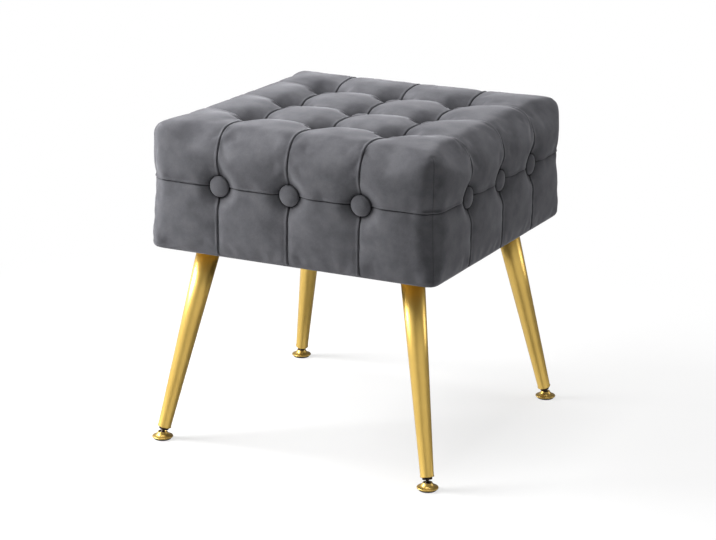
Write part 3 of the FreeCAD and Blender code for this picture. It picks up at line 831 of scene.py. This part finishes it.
# The ring of painted shade round each button: where it starts, where it ends, and how dark it is.
RING_NEAR = 14.4 * MM
RING_FAR = 16.8 * MM
RING_SHADE = 0.85
TUCK_TURN = 40 * MM


def bell(distance, width):
    """A smooth hump: 1 in its middle, and almost 0 at twice its width."""
    return math.exp(-(distance / width) ** 2)


def seam_shape(distance, turned):
    """Height of the velvet beside a seam, whose fold may lie turned to its far side."""
    tuck = ((1 - turned) * bell(distance + TUCK_PLACE, TUCK_WIDTH)
            + turned * bell(distance - TUCK_PLACE, TUCK_WIDTH))
    return TUCK_RISE * tuck - SLIT_DEPTH * bell(distance, SLIT_WIDTH)


def signed_nearest(value):
    """Distance from the nearest crease, negative on its left or front."""
    return min((value - crease for crease in CREASES), key=abs)


def seam_at(place):
    """Height change, and the share of painted shade from slits, corner seams and button rings,
    for a place on the cut box.
    """
    if place.z < UNDER + MM:
        return 0.0, 0.0
    on_top = place.z > CROWN - EDGE_SLACK
    seams = []
    if abs(place.x) < HALF - EDGE_SLACK or on_top:
        seams.append((signed_nearest(place.x), 0.0))
    if abs(place.y) < HALF - EDGE_SLACK or on_top:
        turned = 0.0 if on_top else 1 - smooth_step(place.z, CROWN - TUCK_TURN, CROWN)
        seams.append((signed_nearest(place.y), turned))
    if not on_top:
        seams.append((SEAM - place.z, 0.0))
    height = min(seam_shape(*seam) if abs(seam[0]) < MM else 0.0 for seam in seams)
    if height == 0.0:
        height = max(seam_shape(*seam) for seam in seams)
    # Painted shade: the velvet is darkened along each seam's slit, and along the corner seams.
    close = max(bell(seam[0], SLIT_WIDTH) for seam in seams)
    if not on_top:
        corner = bell(HALF - min(abs(place.x), abs(place.y)), SLIT_WIDTH)
        height -= CORNER_SLIT_DEPTH * corner
        close = max(close, CORNER_SLIT_SHADE * corner)
    # Painted shade: a dark ring round each button stands for the shade of the gap that it sits
    # in.
    ring = 1 - smooth_step(from_button(place, on_top), RING_NEAR, RING_FAR)
    return height, max(SLIT_SHADE * close, RING_SHADE * ring)


def sew(piece):
    """Subdivide the cushion once for good, then press its seams in and note their painted shade.
    """
    finer = piece.modifiers.new("finer", "SUBSURF")
    finer.levels = 1
    finer.render_levels = 1
    graph = bpy.context.evaluated_depsgraph_get()
    fine = bpy.data.meshes.new_from_object(piece.evaluated_get(graph))
    piece.modifiers.clear()
    coarse = piece.data
    piece.data = fine
    bpy.data.meshes.remove(coarse)
    fine.name = piece.name
    # The seam attribute holds the share of painted shade at each point.
    fine.attributes.new("seam", "FLOAT", "POINT")
    places = [entry.vector.copy() for entry in fine.attributes["cut_place"].data]
    moves = []
    shades = []
    for vert, place in zip(fine.vertices, places):
        height, close = seam_at(place)
        moves.append(vert.normal * height)
        shades.append(close)
    fine.attributes["seam"].data.foreach_set("value", shades)
    for vert, move in zip(fine.vertices, moves):
        vert.co += move
    fine.update()
    sewn = sum(shade > SLIT_SHADE / 2 for shade in shades)
    print(piece.name, len(fine.polygons), "faces,", sewn, "points in a seam")


cushion = finish_piece("tufted_cushion", block, velvet, "velvet", "stool", "velvet_cover")
sew(cushion)

# %% [markdown]
# Turned pieces
#
# Buttons, legs, stems, feet and pads are round, so each is a half outline spun about
# its own axis. The outline lists a few points from the axis outward; its hard corners
# are rounded by small arcs, because a real edge always catches a line of light.

# %% Spin an outline
SPIN_STEPS = 64


def arc(centre, radius, start, stop, steps=6):
    """Points of a round corner in an outline, between two angles in degrees."""
    points = []
    for i in range(steps + 1):
        angle = math.radians(start + (stop - start) * i / steps)
        points.append((centre[0] + radius * math.cos(angle),
                       centre[1] + radius * math.sin(angle)))
    return points


def spun(outline, place):
    """A closed turned form from an outline in millimetres, put at a place."""
    bm = bmesh.new()
    verts = [bm.verts.new((r * MM, 0.0, h * MM)) for r, h in outline]
    edges = [bm.edges.new(pair) for pair in zip(verts, verts[1:])]
    if outline[0][0] > 0:
        edges.append(bm.edges.new((verts[-1], verts[0])))
    bmesh.ops.spin(bm, geom=verts + edges, cent=(0, 0, 0), axis=(0, 0, 1),
                   angle=2 * math.pi, steps=SPIN_STEPS, use_merge=True)
    bmesh.ops.remove_doubles(bm, verts=bm.verts, dist=SAME_PLACE)
    bmesh.ops.recalc_face_normals(bm, faces=bm.faces)
    bmesh.ops.transform(bm, matrix=place, verts=bm.verts)
    return bm


def stand(spot, axis):
    """A place whose up direction is the given axis."""
    return Matrix.Translation(spot) @ Vector(axis).to_track_quat("Z", "Y").to_matrix().to_4x4()


# %% [markdown]
# Covered buttons
#
# A covered button is a domed metal shell with velvet drawn over it and tucked in
# behind. Its edge is soft, and it sits in its well, where the dark gap all round it is
# painted shade on the velvet.

# %% Buttons
BUTTON_OUTLINE = ([(0.0, -3.0), (10.6, -3.0), (12.4, -0.8)] + arc((11.5, 1.1), 2.2, -50, 50, 8)
                  + [(11.6, 3.2), (9.2, 4.3), (6.2, 4.9), (3.0, 5.2), (0.0, 5.3)])
TOP_BUTTON_RAISE = 2 * MM
OUTWARD = {"top": (0, 0, 1), "front": (0, -1, 0), "right": (1, 0, 0),
           "back": (0, 1, 0), "left": (-1, 0, 0)}


def button_base(node):
    """The middle of a button's back, and its outward direction."""
    low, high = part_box(node)
    axis = Vector(OUTWARD[node.split("_")[0]])
    half_height = max(abs(a * b) for a, b in zip(axis, (high - low) / 2))
    raised = half_height - (TOP_BUTTON_RAISE if axis.z > 0.5 else 0.0)
    return (low + high) / 2 - axis * raised, axis


def covered_button(node):
    """One velvet button in the place of its node."""
    base, axis = button_base(node)
    finish_piece(node.replace("button", "velvet_button"), spun(BUTTON_OUTLINE, stand(base, axis)),
                 velvet, "velvet", "stool", node)


BUTTONS = [node for node in sorted(frame["nodes"]) if "button" in node]
for node in BUTTONS:
    covered_button(node)

# %% [markdown]
# Gold legs
#
# Each leg is a steel tube, drawn to a taper, its lower rim rolled over, polished with
# a fine belt along its length and then plated in satin gold under lacquer. The belt
# leaves hair lines along the tube, so a highlight stretches into a long soft band. The
# lacquer has a little pigment, which keeps the plating from mirroring like raw brass.
# The feet are stamped and plated in the same way, in a slightly deeper gold.

# %% Gold material
GOLD = "#dfbc64"
GOLD_DEEP = "#d8b35a"
FOOT_GOLD = "#c3a255"
FOOT_GOLD_DEEP = "#b7964b"
BELT_LINE = 0.0006
BELT_LENGTH = 0.06


def satin_gold(name, light, deep):
    """Satin gold plating on belt-polished steel, under a faintly tinted lacquer."""
    material, tree = new_material(name)
    spot = add_node(tree, "TexCoord").outputs["Object"]
    stretch = add_node(tree, "Mapping",
                       {"Vector": spot,
                        "Scale": (1 / BELT_LINE, 1 / BELT_LINE, 1 / BELT_LENGTH)})
    belt = add_node(tree, "TexNoise",
                    {"Vector": stretch.outputs[0], "Scale": 1.0, "Detail": 2.0})
    cloud = add_node(tree, "TexNoise", {"Vector": spot, "Scale": 40.0, "Detail": 2.0})
    tone = add_node(tree, "Mix", {"Factor": cloud.outputs["Fac"], 6: linear(deep),
                                  7: linear(light)}, data_type="RGBA")
    rough = add_node(tree, "MapRange",
                     {"Value": belt.outputs["Fac"], "From Min": 0.3, "From Max": 0.7,
                      "To Min": 0.36, "To Max": 0.39})
    bump = add_node(tree, "Bump", {"Height": belt.outputs["Fac"], "Strength": 0.015,
                                   "Distance": 0.05 * MM})
    shader = add_node(tree, "BsdfPrincipled",
                      {"Base Color": tone.outputs[2], "Metallic": 0.85,
                       "Roughness": rough.outputs["Result"], "Coat Weight": 0.25,
                       "Coat Roughness": 0.2, "Normal": bump.outputs["Normal"]})
    add_node(tree, "OutputMaterial", {"Surface": shader.outputs[0]})
    return material


gold = satin_gold("satin gold plated steel", GOLD, GOLD_DEEP)
foot_gold = satin_gold("stamped gold plated steel", FOOT_GOLD, FOOT_GOLD_DEEP)

# %% [markdown]
# One corner: leg, stem, foot and pad
#
# The construction model says where each ball joint is and along which line its stem
# slides, and that line is the leg's axis. So one corner is four outlines, spun about
# two axes: the leg and its stem about the splayed one, the foot and its pad about the
# upright one. The leg's top is then cut off level under its plate.

# %% Outlines of the corner's pieces, in millimetres from the ball or the leg's end
LEG_LENGTH = 254.5
LEG_OVERRUN = 12.0
LEG_TOP_RADIUS = 15.7
LEG_END_RADIUS = 8.6
LEG_WALL = 1.2
RIM_BEAD = 0.9
STEM_DROP = 10.2
taper = (LEG_TOP_RADIUS - LEG_END_RADIUS) / LEG_LENGTH
tube_length = LEG_LENGTH + LEG_OVERRUN
LEG_OUTLINE = ([(LEG_TOP_RADIUS + taper * LEG_OVERRUN - LEG_WALL, tube_length),
                (LEG_END_RADIUS - LEG_WALL + taper * 4, 4.0)]
               + arc((LEG_END_RADIUS - 0.3, 0.0), RIM_BEAD, -160, 10, 8)
               + [(LEG_END_RADIUS + taper * 2, 1.6), (LEG_END_RADIUS + taper * 60, 60.0),
                  (LEG_END_RADIUS + taper * 150, 150.0),
                  (LEG_TOP_RADIUS + taper * LEG_OVERRUN, tube_length)])
STEM_OUTLINE = ([(0.0, -4.0)] + arc((0.0, 0.0), 4.0, -85, 58, 12)
                + [(2.0, 4.2), (2.0, 6.0)] + arc((6.0, 6.5), 0.5, -90, 0, 3)
                + arc((6.0, 8.2), 0.5, 0, 90, 3) + [(3.0, 8.7), (3.0, 26.5), (0.0, 27.2)])
FOOT_OUTLINE = ([(4.5, -5.2), (12.9, -5.2)] + arc((12.9, -4.1), 1.1, -90, 75, 6)
                + [(11.4, -2.55), (9.0, -1.35), (7.4, 0.3), (6.6, 1.9)]
                + arc((5.75, 2.2), 0.6, 0, 150, 5) + [(4.6, 1.6), (3.95, 1.3), (3.95, -0.8)])
PAD_OUTLINE = [(0.0, 0.0)] + arc((10.9, 0.6), 0.6, -90, 0, 4) + [(11.5, 2.2), (0.0, 2.2)]


def corner_line(corner):
    """Ball centre and unit leg axis, pointing up, of one corner."""
    by_name = {joint["name"]: joint for joint in frame["joints"]}
    ball = Vector(by_name["tilt_" + corner]["pos_m"])
    up_axis = -Vector(by_name["level_" + corner]["axis"]).normalized()
    return ball, up_axis


def leg_tube(corner, ball, up_axis):
    """The tapered tube, cut off level at the underside of its plate."""
    bm = spun(LEG_OUTLINE, stand(ball + up_axis * STEM_DROP * MM, up_axis))
    plate_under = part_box("leg_plate_" + corner)[0].z
    cut = bmesh.ops.bisect_plane(bm, geom=everything(bm), plane_co=(0, 0, plate_under),
                                 plane_no=(0, 0, 1), clear_outer=True)
    rims = [item for item in cut["geom_cut"] if isinstance(item, bmesh.types.BMEdge)]
    bmesh.ops.bridge_loops(bm, edges=rims)
    bmesh.ops.recalc_face_normals(bm, faces=bm.faces)
    return bm


# %% [markdown]
# Small parts at the foot
#
# The stem is a steel stud in dark bronze lacquer, smooth and half glossy. The pad is
# moulded black rubber, quite dull, with the faint grain of its mould. The four corners
# differ only in the place and direction that the joints give, so one loop makes them.

# %% Dark lacquer and rubber
def plain_finish(name, hex_code, deeper, roughness, grain, metallic=0.0):
    """An even finish with a faint drift of tone and the grain that its making left."""
    material, tree = new_material(name)
    spot = add_node(tree, "TexCoord").outputs["Object"]
    drift = add_node(tree, "TexNoise",
                     {"Vector": spot, "Scale": 0.12 / grain, "Detail": 3.0})
    fine = add_node(tree, "TexNoise", {"Vector": spot, "Scale": 1 / grain, "Detail": 3.0})
    tone = add_node(tree, "Mix", {"Factor": drift.outputs["Fac"], 6: linear(deeper),
                                  7: linear(hex_code)}, data_type="RGBA")
    rough = add_node(tree, "MapRange",
                     {"Value": fine.outputs["Fac"], "To Min": roughness - 0.08,
                      "To Max": roughness + 0.08})
    bump = add_node(tree, "Bump", {"Height": fine.outputs["Fac"], "Strength": 0.3,
                                   "Distance": 0.02 * MM})
    shader = add_node(tree, "BsdfPrincipled",
                      {"Base Color": tone.outputs[2], "Metallic": metallic,
                       "Roughness": rough.outputs["Result"],
                       "Normal": bump.outputs["Normal"]})
    add_node(tree, "OutputMaterial", {"Surface": shader.outputs[0]})
    return material


bronze = plain_finish("dark bronze lacquered steel", "#3a2a1c", "#20160e", 0.3, 0.0008, 0.6)
rubber = plain_finish("moulded black rubber", "#1c1c1d", "#111112", 0.75, 0.0005)

# %% Four corners
CORNERS = ("front_left", "front_right", "back_right", "back_left")
for corner in CORNERS:
    ball, up_axis = corner_line(corner)
    finish_piece("gold_leg_" + corner, leg_tube(corner, ball, up_axis), gold,
                 "gold_steel", "stool", "leg_" + corner)
    finish_piece("levelling_stem_" + corner, spun(STEM_OUTLINE, stand(ball, up_axis)),
                 bronze, "dark_steel", "stem_" + corner, "glide_stem_" + corner)
    finish_piece("gold_foot_" + corner, spun(FOOT_OUTLINE, stand(ball, (0, 0, 1))),
                 foot_gold, "gold_steel", "foot_" + corner, "glide_foot_" + corner)
    pad_place = Matrix.Translation((ball.x, ball.y, 0.0))
    finish_piece("rubber_pad_" + corner, spun(PAD_OUTLINE, pad_place), rubber,
                 "black_pad", "foot_" + corner, "glide_pad_" + corner)

# %% [markdown]
# Foam and ties inside
#
# Inside the cover lie a slab of upholstery foam, a foam strip round the frame, and the
# ties that hold the buttons. The foam is cut from a block, so its edges are plain and
# only a little crushed by the cover. A tie is two strands of nylon twisted together,
# and a twist is a small circle off the axis, turned and moved on at the same time.

# %% Foam and twine materials
FOAM_PORE = 0.0007
TWINE_TWIST = 0.0040


def foam_material():
    """Cut polyurethane foam: cream, dull, with open pores of less than a millimetre."""
    material, tree = new_material("cut polyurethane foam")
    spot = add_node(tree, "TexCoord").outputs["Object"]
    pores = add_node(tree, "TexVoronoi", {"Vector": spot, "Scale": 1 / FOAM_PORE})
    drift = add_node(tree, "TexNoise", {"Vector": spot, "Scale": 25.0, "Detail": 2.0})
    tone = add_node(tree, "Mix", {"Factor": drift.outputs["Fac"], 6: linear("#d9c98f"),
                                  7: linear("#eadfb4")}, data_type="RGBA")
    bump = add_node(tree, "Bump", {"Height": pores.outputs["Distance"], "Strength": 0.6,
                                   "Distance": 0.3 * MM})
    shader = add_node(tree, "BsdfPrincipled",
                      {"Base Color": tone.outputs[2], "Roughness": 0.95,
                       "Normal": bump.outputs["Normal"]})
    add_node(tree, "OutputMaterial", {"Surface": shader.outputs[0]})
    return material


foam = foam_material()
twine = plain_finish("twisted nylon twine", "#d8d2c2", "#bdb5a2", 0.7, 0.0004)

# %% Foam slab and foam strip
SLAB_EDGE = 4 * MM
STRIP_EDGE = 2 * MM
SHARP_ANGLE = 1.0


def crushed_edges(bm, width):
    """Round every edge of a cut foam form a little."""
    sharp = [edge for edge in bm.edges if edge.calc_face_angle(0.0) > SHARP_ANGLE]
    bmesh.ops.bevel(bm, geom=sharp, offset=width, segments=3, profile=0.5,
                    affect="EDGES", clamp_overlap=True)


def box_form(low, high):
    """A box between two corners."""
    bm = bmesh.new()
    bmesh.ops.create_cube(bm, size=1.0)
    bmesh.ops.scale(bm, vec=high - low, verts=bm.verts)
    bmesh.ops.translate(bm, vec=(high + low) / 2, verts=bm.verts)
    return bm


def ring_form(low, high, wall):
    """An upright square ring between two corners, with one wall thickness."""
    bm = bmesh.new()
    bmesh.ops.create_grid(bm, x_segments=1, y_segments=1, size=high.x)
    bmesh.ops.inset_individual(bm, faces=bm.faces[:], thickness=wall,
                               use_even_offset=True)
    middle = min(bm.faces, key=lambda face: face.calc_center_median().length)
    bmesh.ops.delete(bm, geom=[middle], context="FACES")
    lifted = moved_verts(bmesh.ops.extrude_face_region(bm, geom=bm.faces[:]))
    bmesh.ops.translate(bm, vec=(0, 0, high.z - low.z), verts=lifted)
    bmesh.ops.translate(bm, vec=(0, 0, low.z), verts=bm.verts)
    bmesh.ops.recalc_face_normals(bm, faces=bm.faces)
    return bm


slab_low, slab_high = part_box("seat_foam")
slab = box_form(slab_low, slab_high)
crushed_edges(slab, SLAB_EDGE)
finish_piece("foam_slab", slab, foam, "foam", "stool", "seat_foam")

strip_low, strip_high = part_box("side_foam")
strip = ring_form(strip_low, strip_high, strip_high.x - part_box("rail_right")[1].x)
crushed_edges(strip, STRIP_EDGE)
finish_piece("foam_strip", strip, foam, "foam", "stool", "side_foam")

# %% Twisted ties and their washers
STRAND_RADIUS = 0.5 * MM
STEPS_PER_TURN = 10
WASHER_GAP = 0.05 * MM
WASHER_OUTLINE = ([(1.1, 0.0)] + arc((4.1, 0.3), 0.3, -90, 90, 4) + [(1.1, 0.6)])


def strand(length, place, phase):
    """One strand of a tie: a small circle off the axis, turned and moved on."""
    steps = round(STEPS_PER_TURN * length / TWINE_TWIST)
    bm = bmesh.new()
    bmesh.ops.create_circle(bm, cap_ends=True, radius=STRAND_RADIUS, segments=6)
    bmesh.ops.translate(bm, vec=(STRAND_RADIUS, 0, 0), verts=bm.verts)
    bmesh.ops.spin(bm, geom=everything(bm), cent=(0, 0, 0), axis=(0, 0, 1),
                   dvec=(0, 0, length / steps),
                   angle=2 * math.pi * steps / STEPS_PER_TURN, steps=steps)
    bmesh.ops.rotate(bm, cent=(0, 0, 0), matrix=Matrix.Rotation(phase, 3, "Z"),
                     verts=bm.verts)
    bmesh.ops.recalc_face_normals(bm, faces=bm.faces)
    bmesh.ops.transform(bm, matrix=place, verts=bm.verts)
    return bm


def add_to(whole, part):
    """Add one finished form to another and let go of it."""
    mesh = as_mesh("part", part)
    whole.from_mesh(mesh)
    bpy.data.meshes.remove(mesh)


ties = bmesh.new()
washers = bmesh.new()
rail_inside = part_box("rail_back")[0].y
panel_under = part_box("top_panel")[0].z
for node in BUTTONS:
    base, axis = button_base(node)
    length = base.z - panel_under if axis.z else max(abs(base.x), abs(base.y)) - rail_inside
    for phase in (0.0, math.pi):
        add_to(ties, strand(length, stand(base, -axis), phase))
    behind = stand(base - axis * (length + WASHER_GAP), -axis)
    add_to(washers, spun(WASHER_OUTLINE, behind))
finish_piece("twisted_ties", ties, twine, "twine", "stool", "tufting_ties")

# %% [markdown]
# Underside
#
# A black cloth closes the underside. It is a bonded, unwoven cloth, stretched over the
# board and stapled round its edge, so it is flat near the staples and the leg plates and
# sinks by a millimetre where nothing holds it. The bond is a grid of pressed dots.

# %% Dust cover
BOND_PITCH = 0.0022
CLOTH_CUTS = 90
CLOTH_SINK = 1.2 * MM
PUCKER_RISE = 0.25 * MM
STAPLES_PER_SIDE = 6
SAG_START = 6 * MM
SAG_FULL = 70 * MM
PLATE_EDGE = 2 * MM
PLATE_SAG = 30 * MM
PLATE_PUCKER = 12 * MM
PUCKER_PLACE = 12 * MM
PUCKER_WIDTH = 14 * MM


def bonded_cloth():
    """Black spun-bonded polypropylene: matted fibres under a grid of pressed dots."""
    material, tree = new_material("black spun-bonded cloth")
    spot = add_node(tree, "TexCoord").outputs["Object"]
    fibres = add_node(tree, "TexNoise", {"Vector": spot, "Scale": 900.0, "Detail": 4.0})
    dots = add_node(tree, "TexVoronoi",
                    {"Vector": spot, "Scale": 1 / BOND_PITCH, "Randomness": 0.1})
    tone = add_node(tree, "Mix", {"Factor": fibres.outputs["Fac"], 6: linear("#121213"),
                                  7: linear("#2b2b2d")}, data_type="RGBA")
    bump = add_node(tree, "Bump", {"Height": dots.outputs["Distance"], "Strength": 0.5,
                                   "Distance": 0.15 * MM})
    shader = add_node(tree, "BsdfPrincipled",
                      {"Base Color": tone.outputs[2], "Roughness": 0.8,
                       "Normal": bump.outputs["Normal"]})
    add_node(tree, "OutputMaterial", {"Surface": shader.outputs[0]})
    return material


cloth_low, cloth_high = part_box("dust_cover")
plate_inner = min(abs(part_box("leg_plate_front_left")[1].x), cloth_high.x)
staple_reach = abs(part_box("staples")[1].x)


def cloth_sag(spot):
    """How far the cloth hangs down at a place, between staples and leg plates."""
    edge = min(staple_reach - abs(spot.x), staple_reach - abs(spot.y))
    hang = smooth_step(edge, SAG_START, SAG_FULL)
    beside = max(plate_inner - abs(spot.x), plate_inner - abs(spot.y))
    hang *= smooth_step(beside, PLATE_EDGE, PLATE_SAG)
    wave = math.cos(math.pi * STAPLES_PER_SIDE * along_face(spot) / plate_inner)
    pucker = PUCKER_RISE * (1 - wave) * bell(edge - PUCKER_PLACE, PUCKER_WIDTH)
    return CLOTH_SINK * hang + pucker * smooth_step(beside, PLATE_EDGE, PLATE_PUCKER)


sheet = bmesh.new()
bmesh.ops.create_grid(sheet, x_segments=CLOTH_CUTS, y_segments=CLOTH_CUTS, size=cloth_high.x)
for vert in sheet.verts:
    vert.co.z = cloth_high.z - cloth_sag(vert.co)
lowered = moved_verts(bmesh.ops.extrude_face_region(sheet, geom=sheet.faces[:]))
bmesh.ops.translate(sheet, vec=(0, 0, cloth_low.z - cloth_high.z), verts=lowered)
bmesh.ops.recalc_face_normals(sheet, faces=sheet.faces)
dust_cloth = finish_piece("dust_cloth", sheet, bonded_cloth(), "non_woven", "stool",
                          "dust_cover")

# %% [markdown]
# Timber, plywood and fasteners
#
# These pieces keep their shape from the construction model and only get their finish.
# Pine shows growth lines a few millimetres apart along the board. Plywood shows its
# layers on a cut edge and a quiet veneer on its face. Screws and staples are zinc
# plated, the leg plates are gold like the legs, and the plugs are moulded nylon.

# %% Finishes of the inner pieces
PINE_RING = 0.0045
PINE_STRETCH = 12.0
PLY_LAYER = 0.0015
PLY_SCALE = 1 / (20 * PLY_LAYER)
VENEER_STRETCH = (30.0, 300.0, 300.0)


def pine_material(name, along):
    """Planed pine whose growth lines run along one axis: 0 for X, 1 for Y, 2 for Z."""
    material, tree = new_material(name)
    spot = add_node(tree, "TexCoord").outputs["Object"]
    scale = [1 / PINE_RING] * 3
    scale[along] /= PINE_STRETCH
    stretch = add_node(tree, "Mapping", {"Vector": spot, "Scale": scale})
    rings = add_node(tree, "TexNoise", {"Vector": stretch.outputs[0], "Scale": 1.0,
                                        "Detail": 5.0, "Distortion": 0.6})
    tone = add_node(tree, "Mix", {"Factor": rings.outputs["Fac"], 6: linear("#b98a52"),
                                  7: linear("#e6cb9c")}, data_type="RGBA")
    bump = add_node(tree, "Bump", {"Height": rings.outputs["Fac"], "Strength": 0.2,
                                   "Distance": 0.1 * MM})
    shader = add_node(tree, "BsdfPrincipled",
                      {"Base Color": tone.outputs[2], "Roughness": 0.6,
                       "Normal": bump.outputs["Normal"]})
    add_node(tree, "OutputMaterial", {"Surface": shader.outputs[0]})
    return material


def plywood_material():
    """Birch plywood: pale veneer, and thin layers that differ in tone at its edges."""
    material, tree = new_material("birch plywood")
    spot = add_node(tree, "TexCoord").outputs["Object"]
    layers = add_node(tree, "TexWave",
                      {"Vector": spot, "Scale": PLY_SCALE, "Distortion": 0.4,
                       "Detail": 2.0}, bands_direction="Z")
    stretch = add_node(tree, "Mapping", {"Vector": spot, "Scale": VENEER_STRETCH})
    veneer = add_node(tree, "TexNoise",
                      {"Vector": stretch.outputs[0], "Scale": 1.0, "Detail": 4.0})
    both = add_node(tree, "Math", {0: layers.outputs["Fac"], 1: veneer.outputs["Fac"]},
                    operation="MULTIPLY")
    tone = add_node(tree, "Mix", {"Factor": both.outputs[0], 6: linear("#c6a676"),
                                  7: linear("#ead6ad")}, data_type="RGBA")
    shader = add_node(tree, "BsdfPrincipled",
                      {"Base Color": tone.outputs[2], "Roughness": 0.55})
    add_node(tree, "OutputMaterial", {"Surface": shader.outputs[0]})
    return material


def dress(node, material):
    """Give a piece of the construction model its finish."""
    for holder in frame["nodes"][node].material_slots:
        holder.material = material


pine_x = pine_material("planed pine, grain from side to side", 0)
pine_y = pine_material("planed pine, grain from front to back", 1)
pine_z = pine_material("planed pine, upright grain", 2)
plywood = plywood_material()
zinc = plain_finish("zinc plated steel", "#b9bcc1", "#a2a5aa", 0.35, 0.0005, 1.0)
nylon = plain_finish("moulded black nylon", "#1a1a1b", "#101011", 0.5, 0.0004)
finish_piece("tie_washers", washers, zinc, "staple_steel", "stool", "tufting_ties")
DRESSED = {"rail_front": pine_x, "rail_back": pine_x, "rail_left": pine_y,
           "rail_right": pine_y, "corner_blocks": pine_z, "top_panel": plywood,
           "base_panel": plywood, "staples": zinc, "leg_screws": zinc}
for node, material in DRESSED.items():
    dress(node, material)
for corner in CORNERS:
    dress("leg_plate_" + corner, gold)
    dress("leg_plug_" + corner, nylon)
print("inner pieces dressed:", len(DRESSED) + 2 * len(CORNERS))
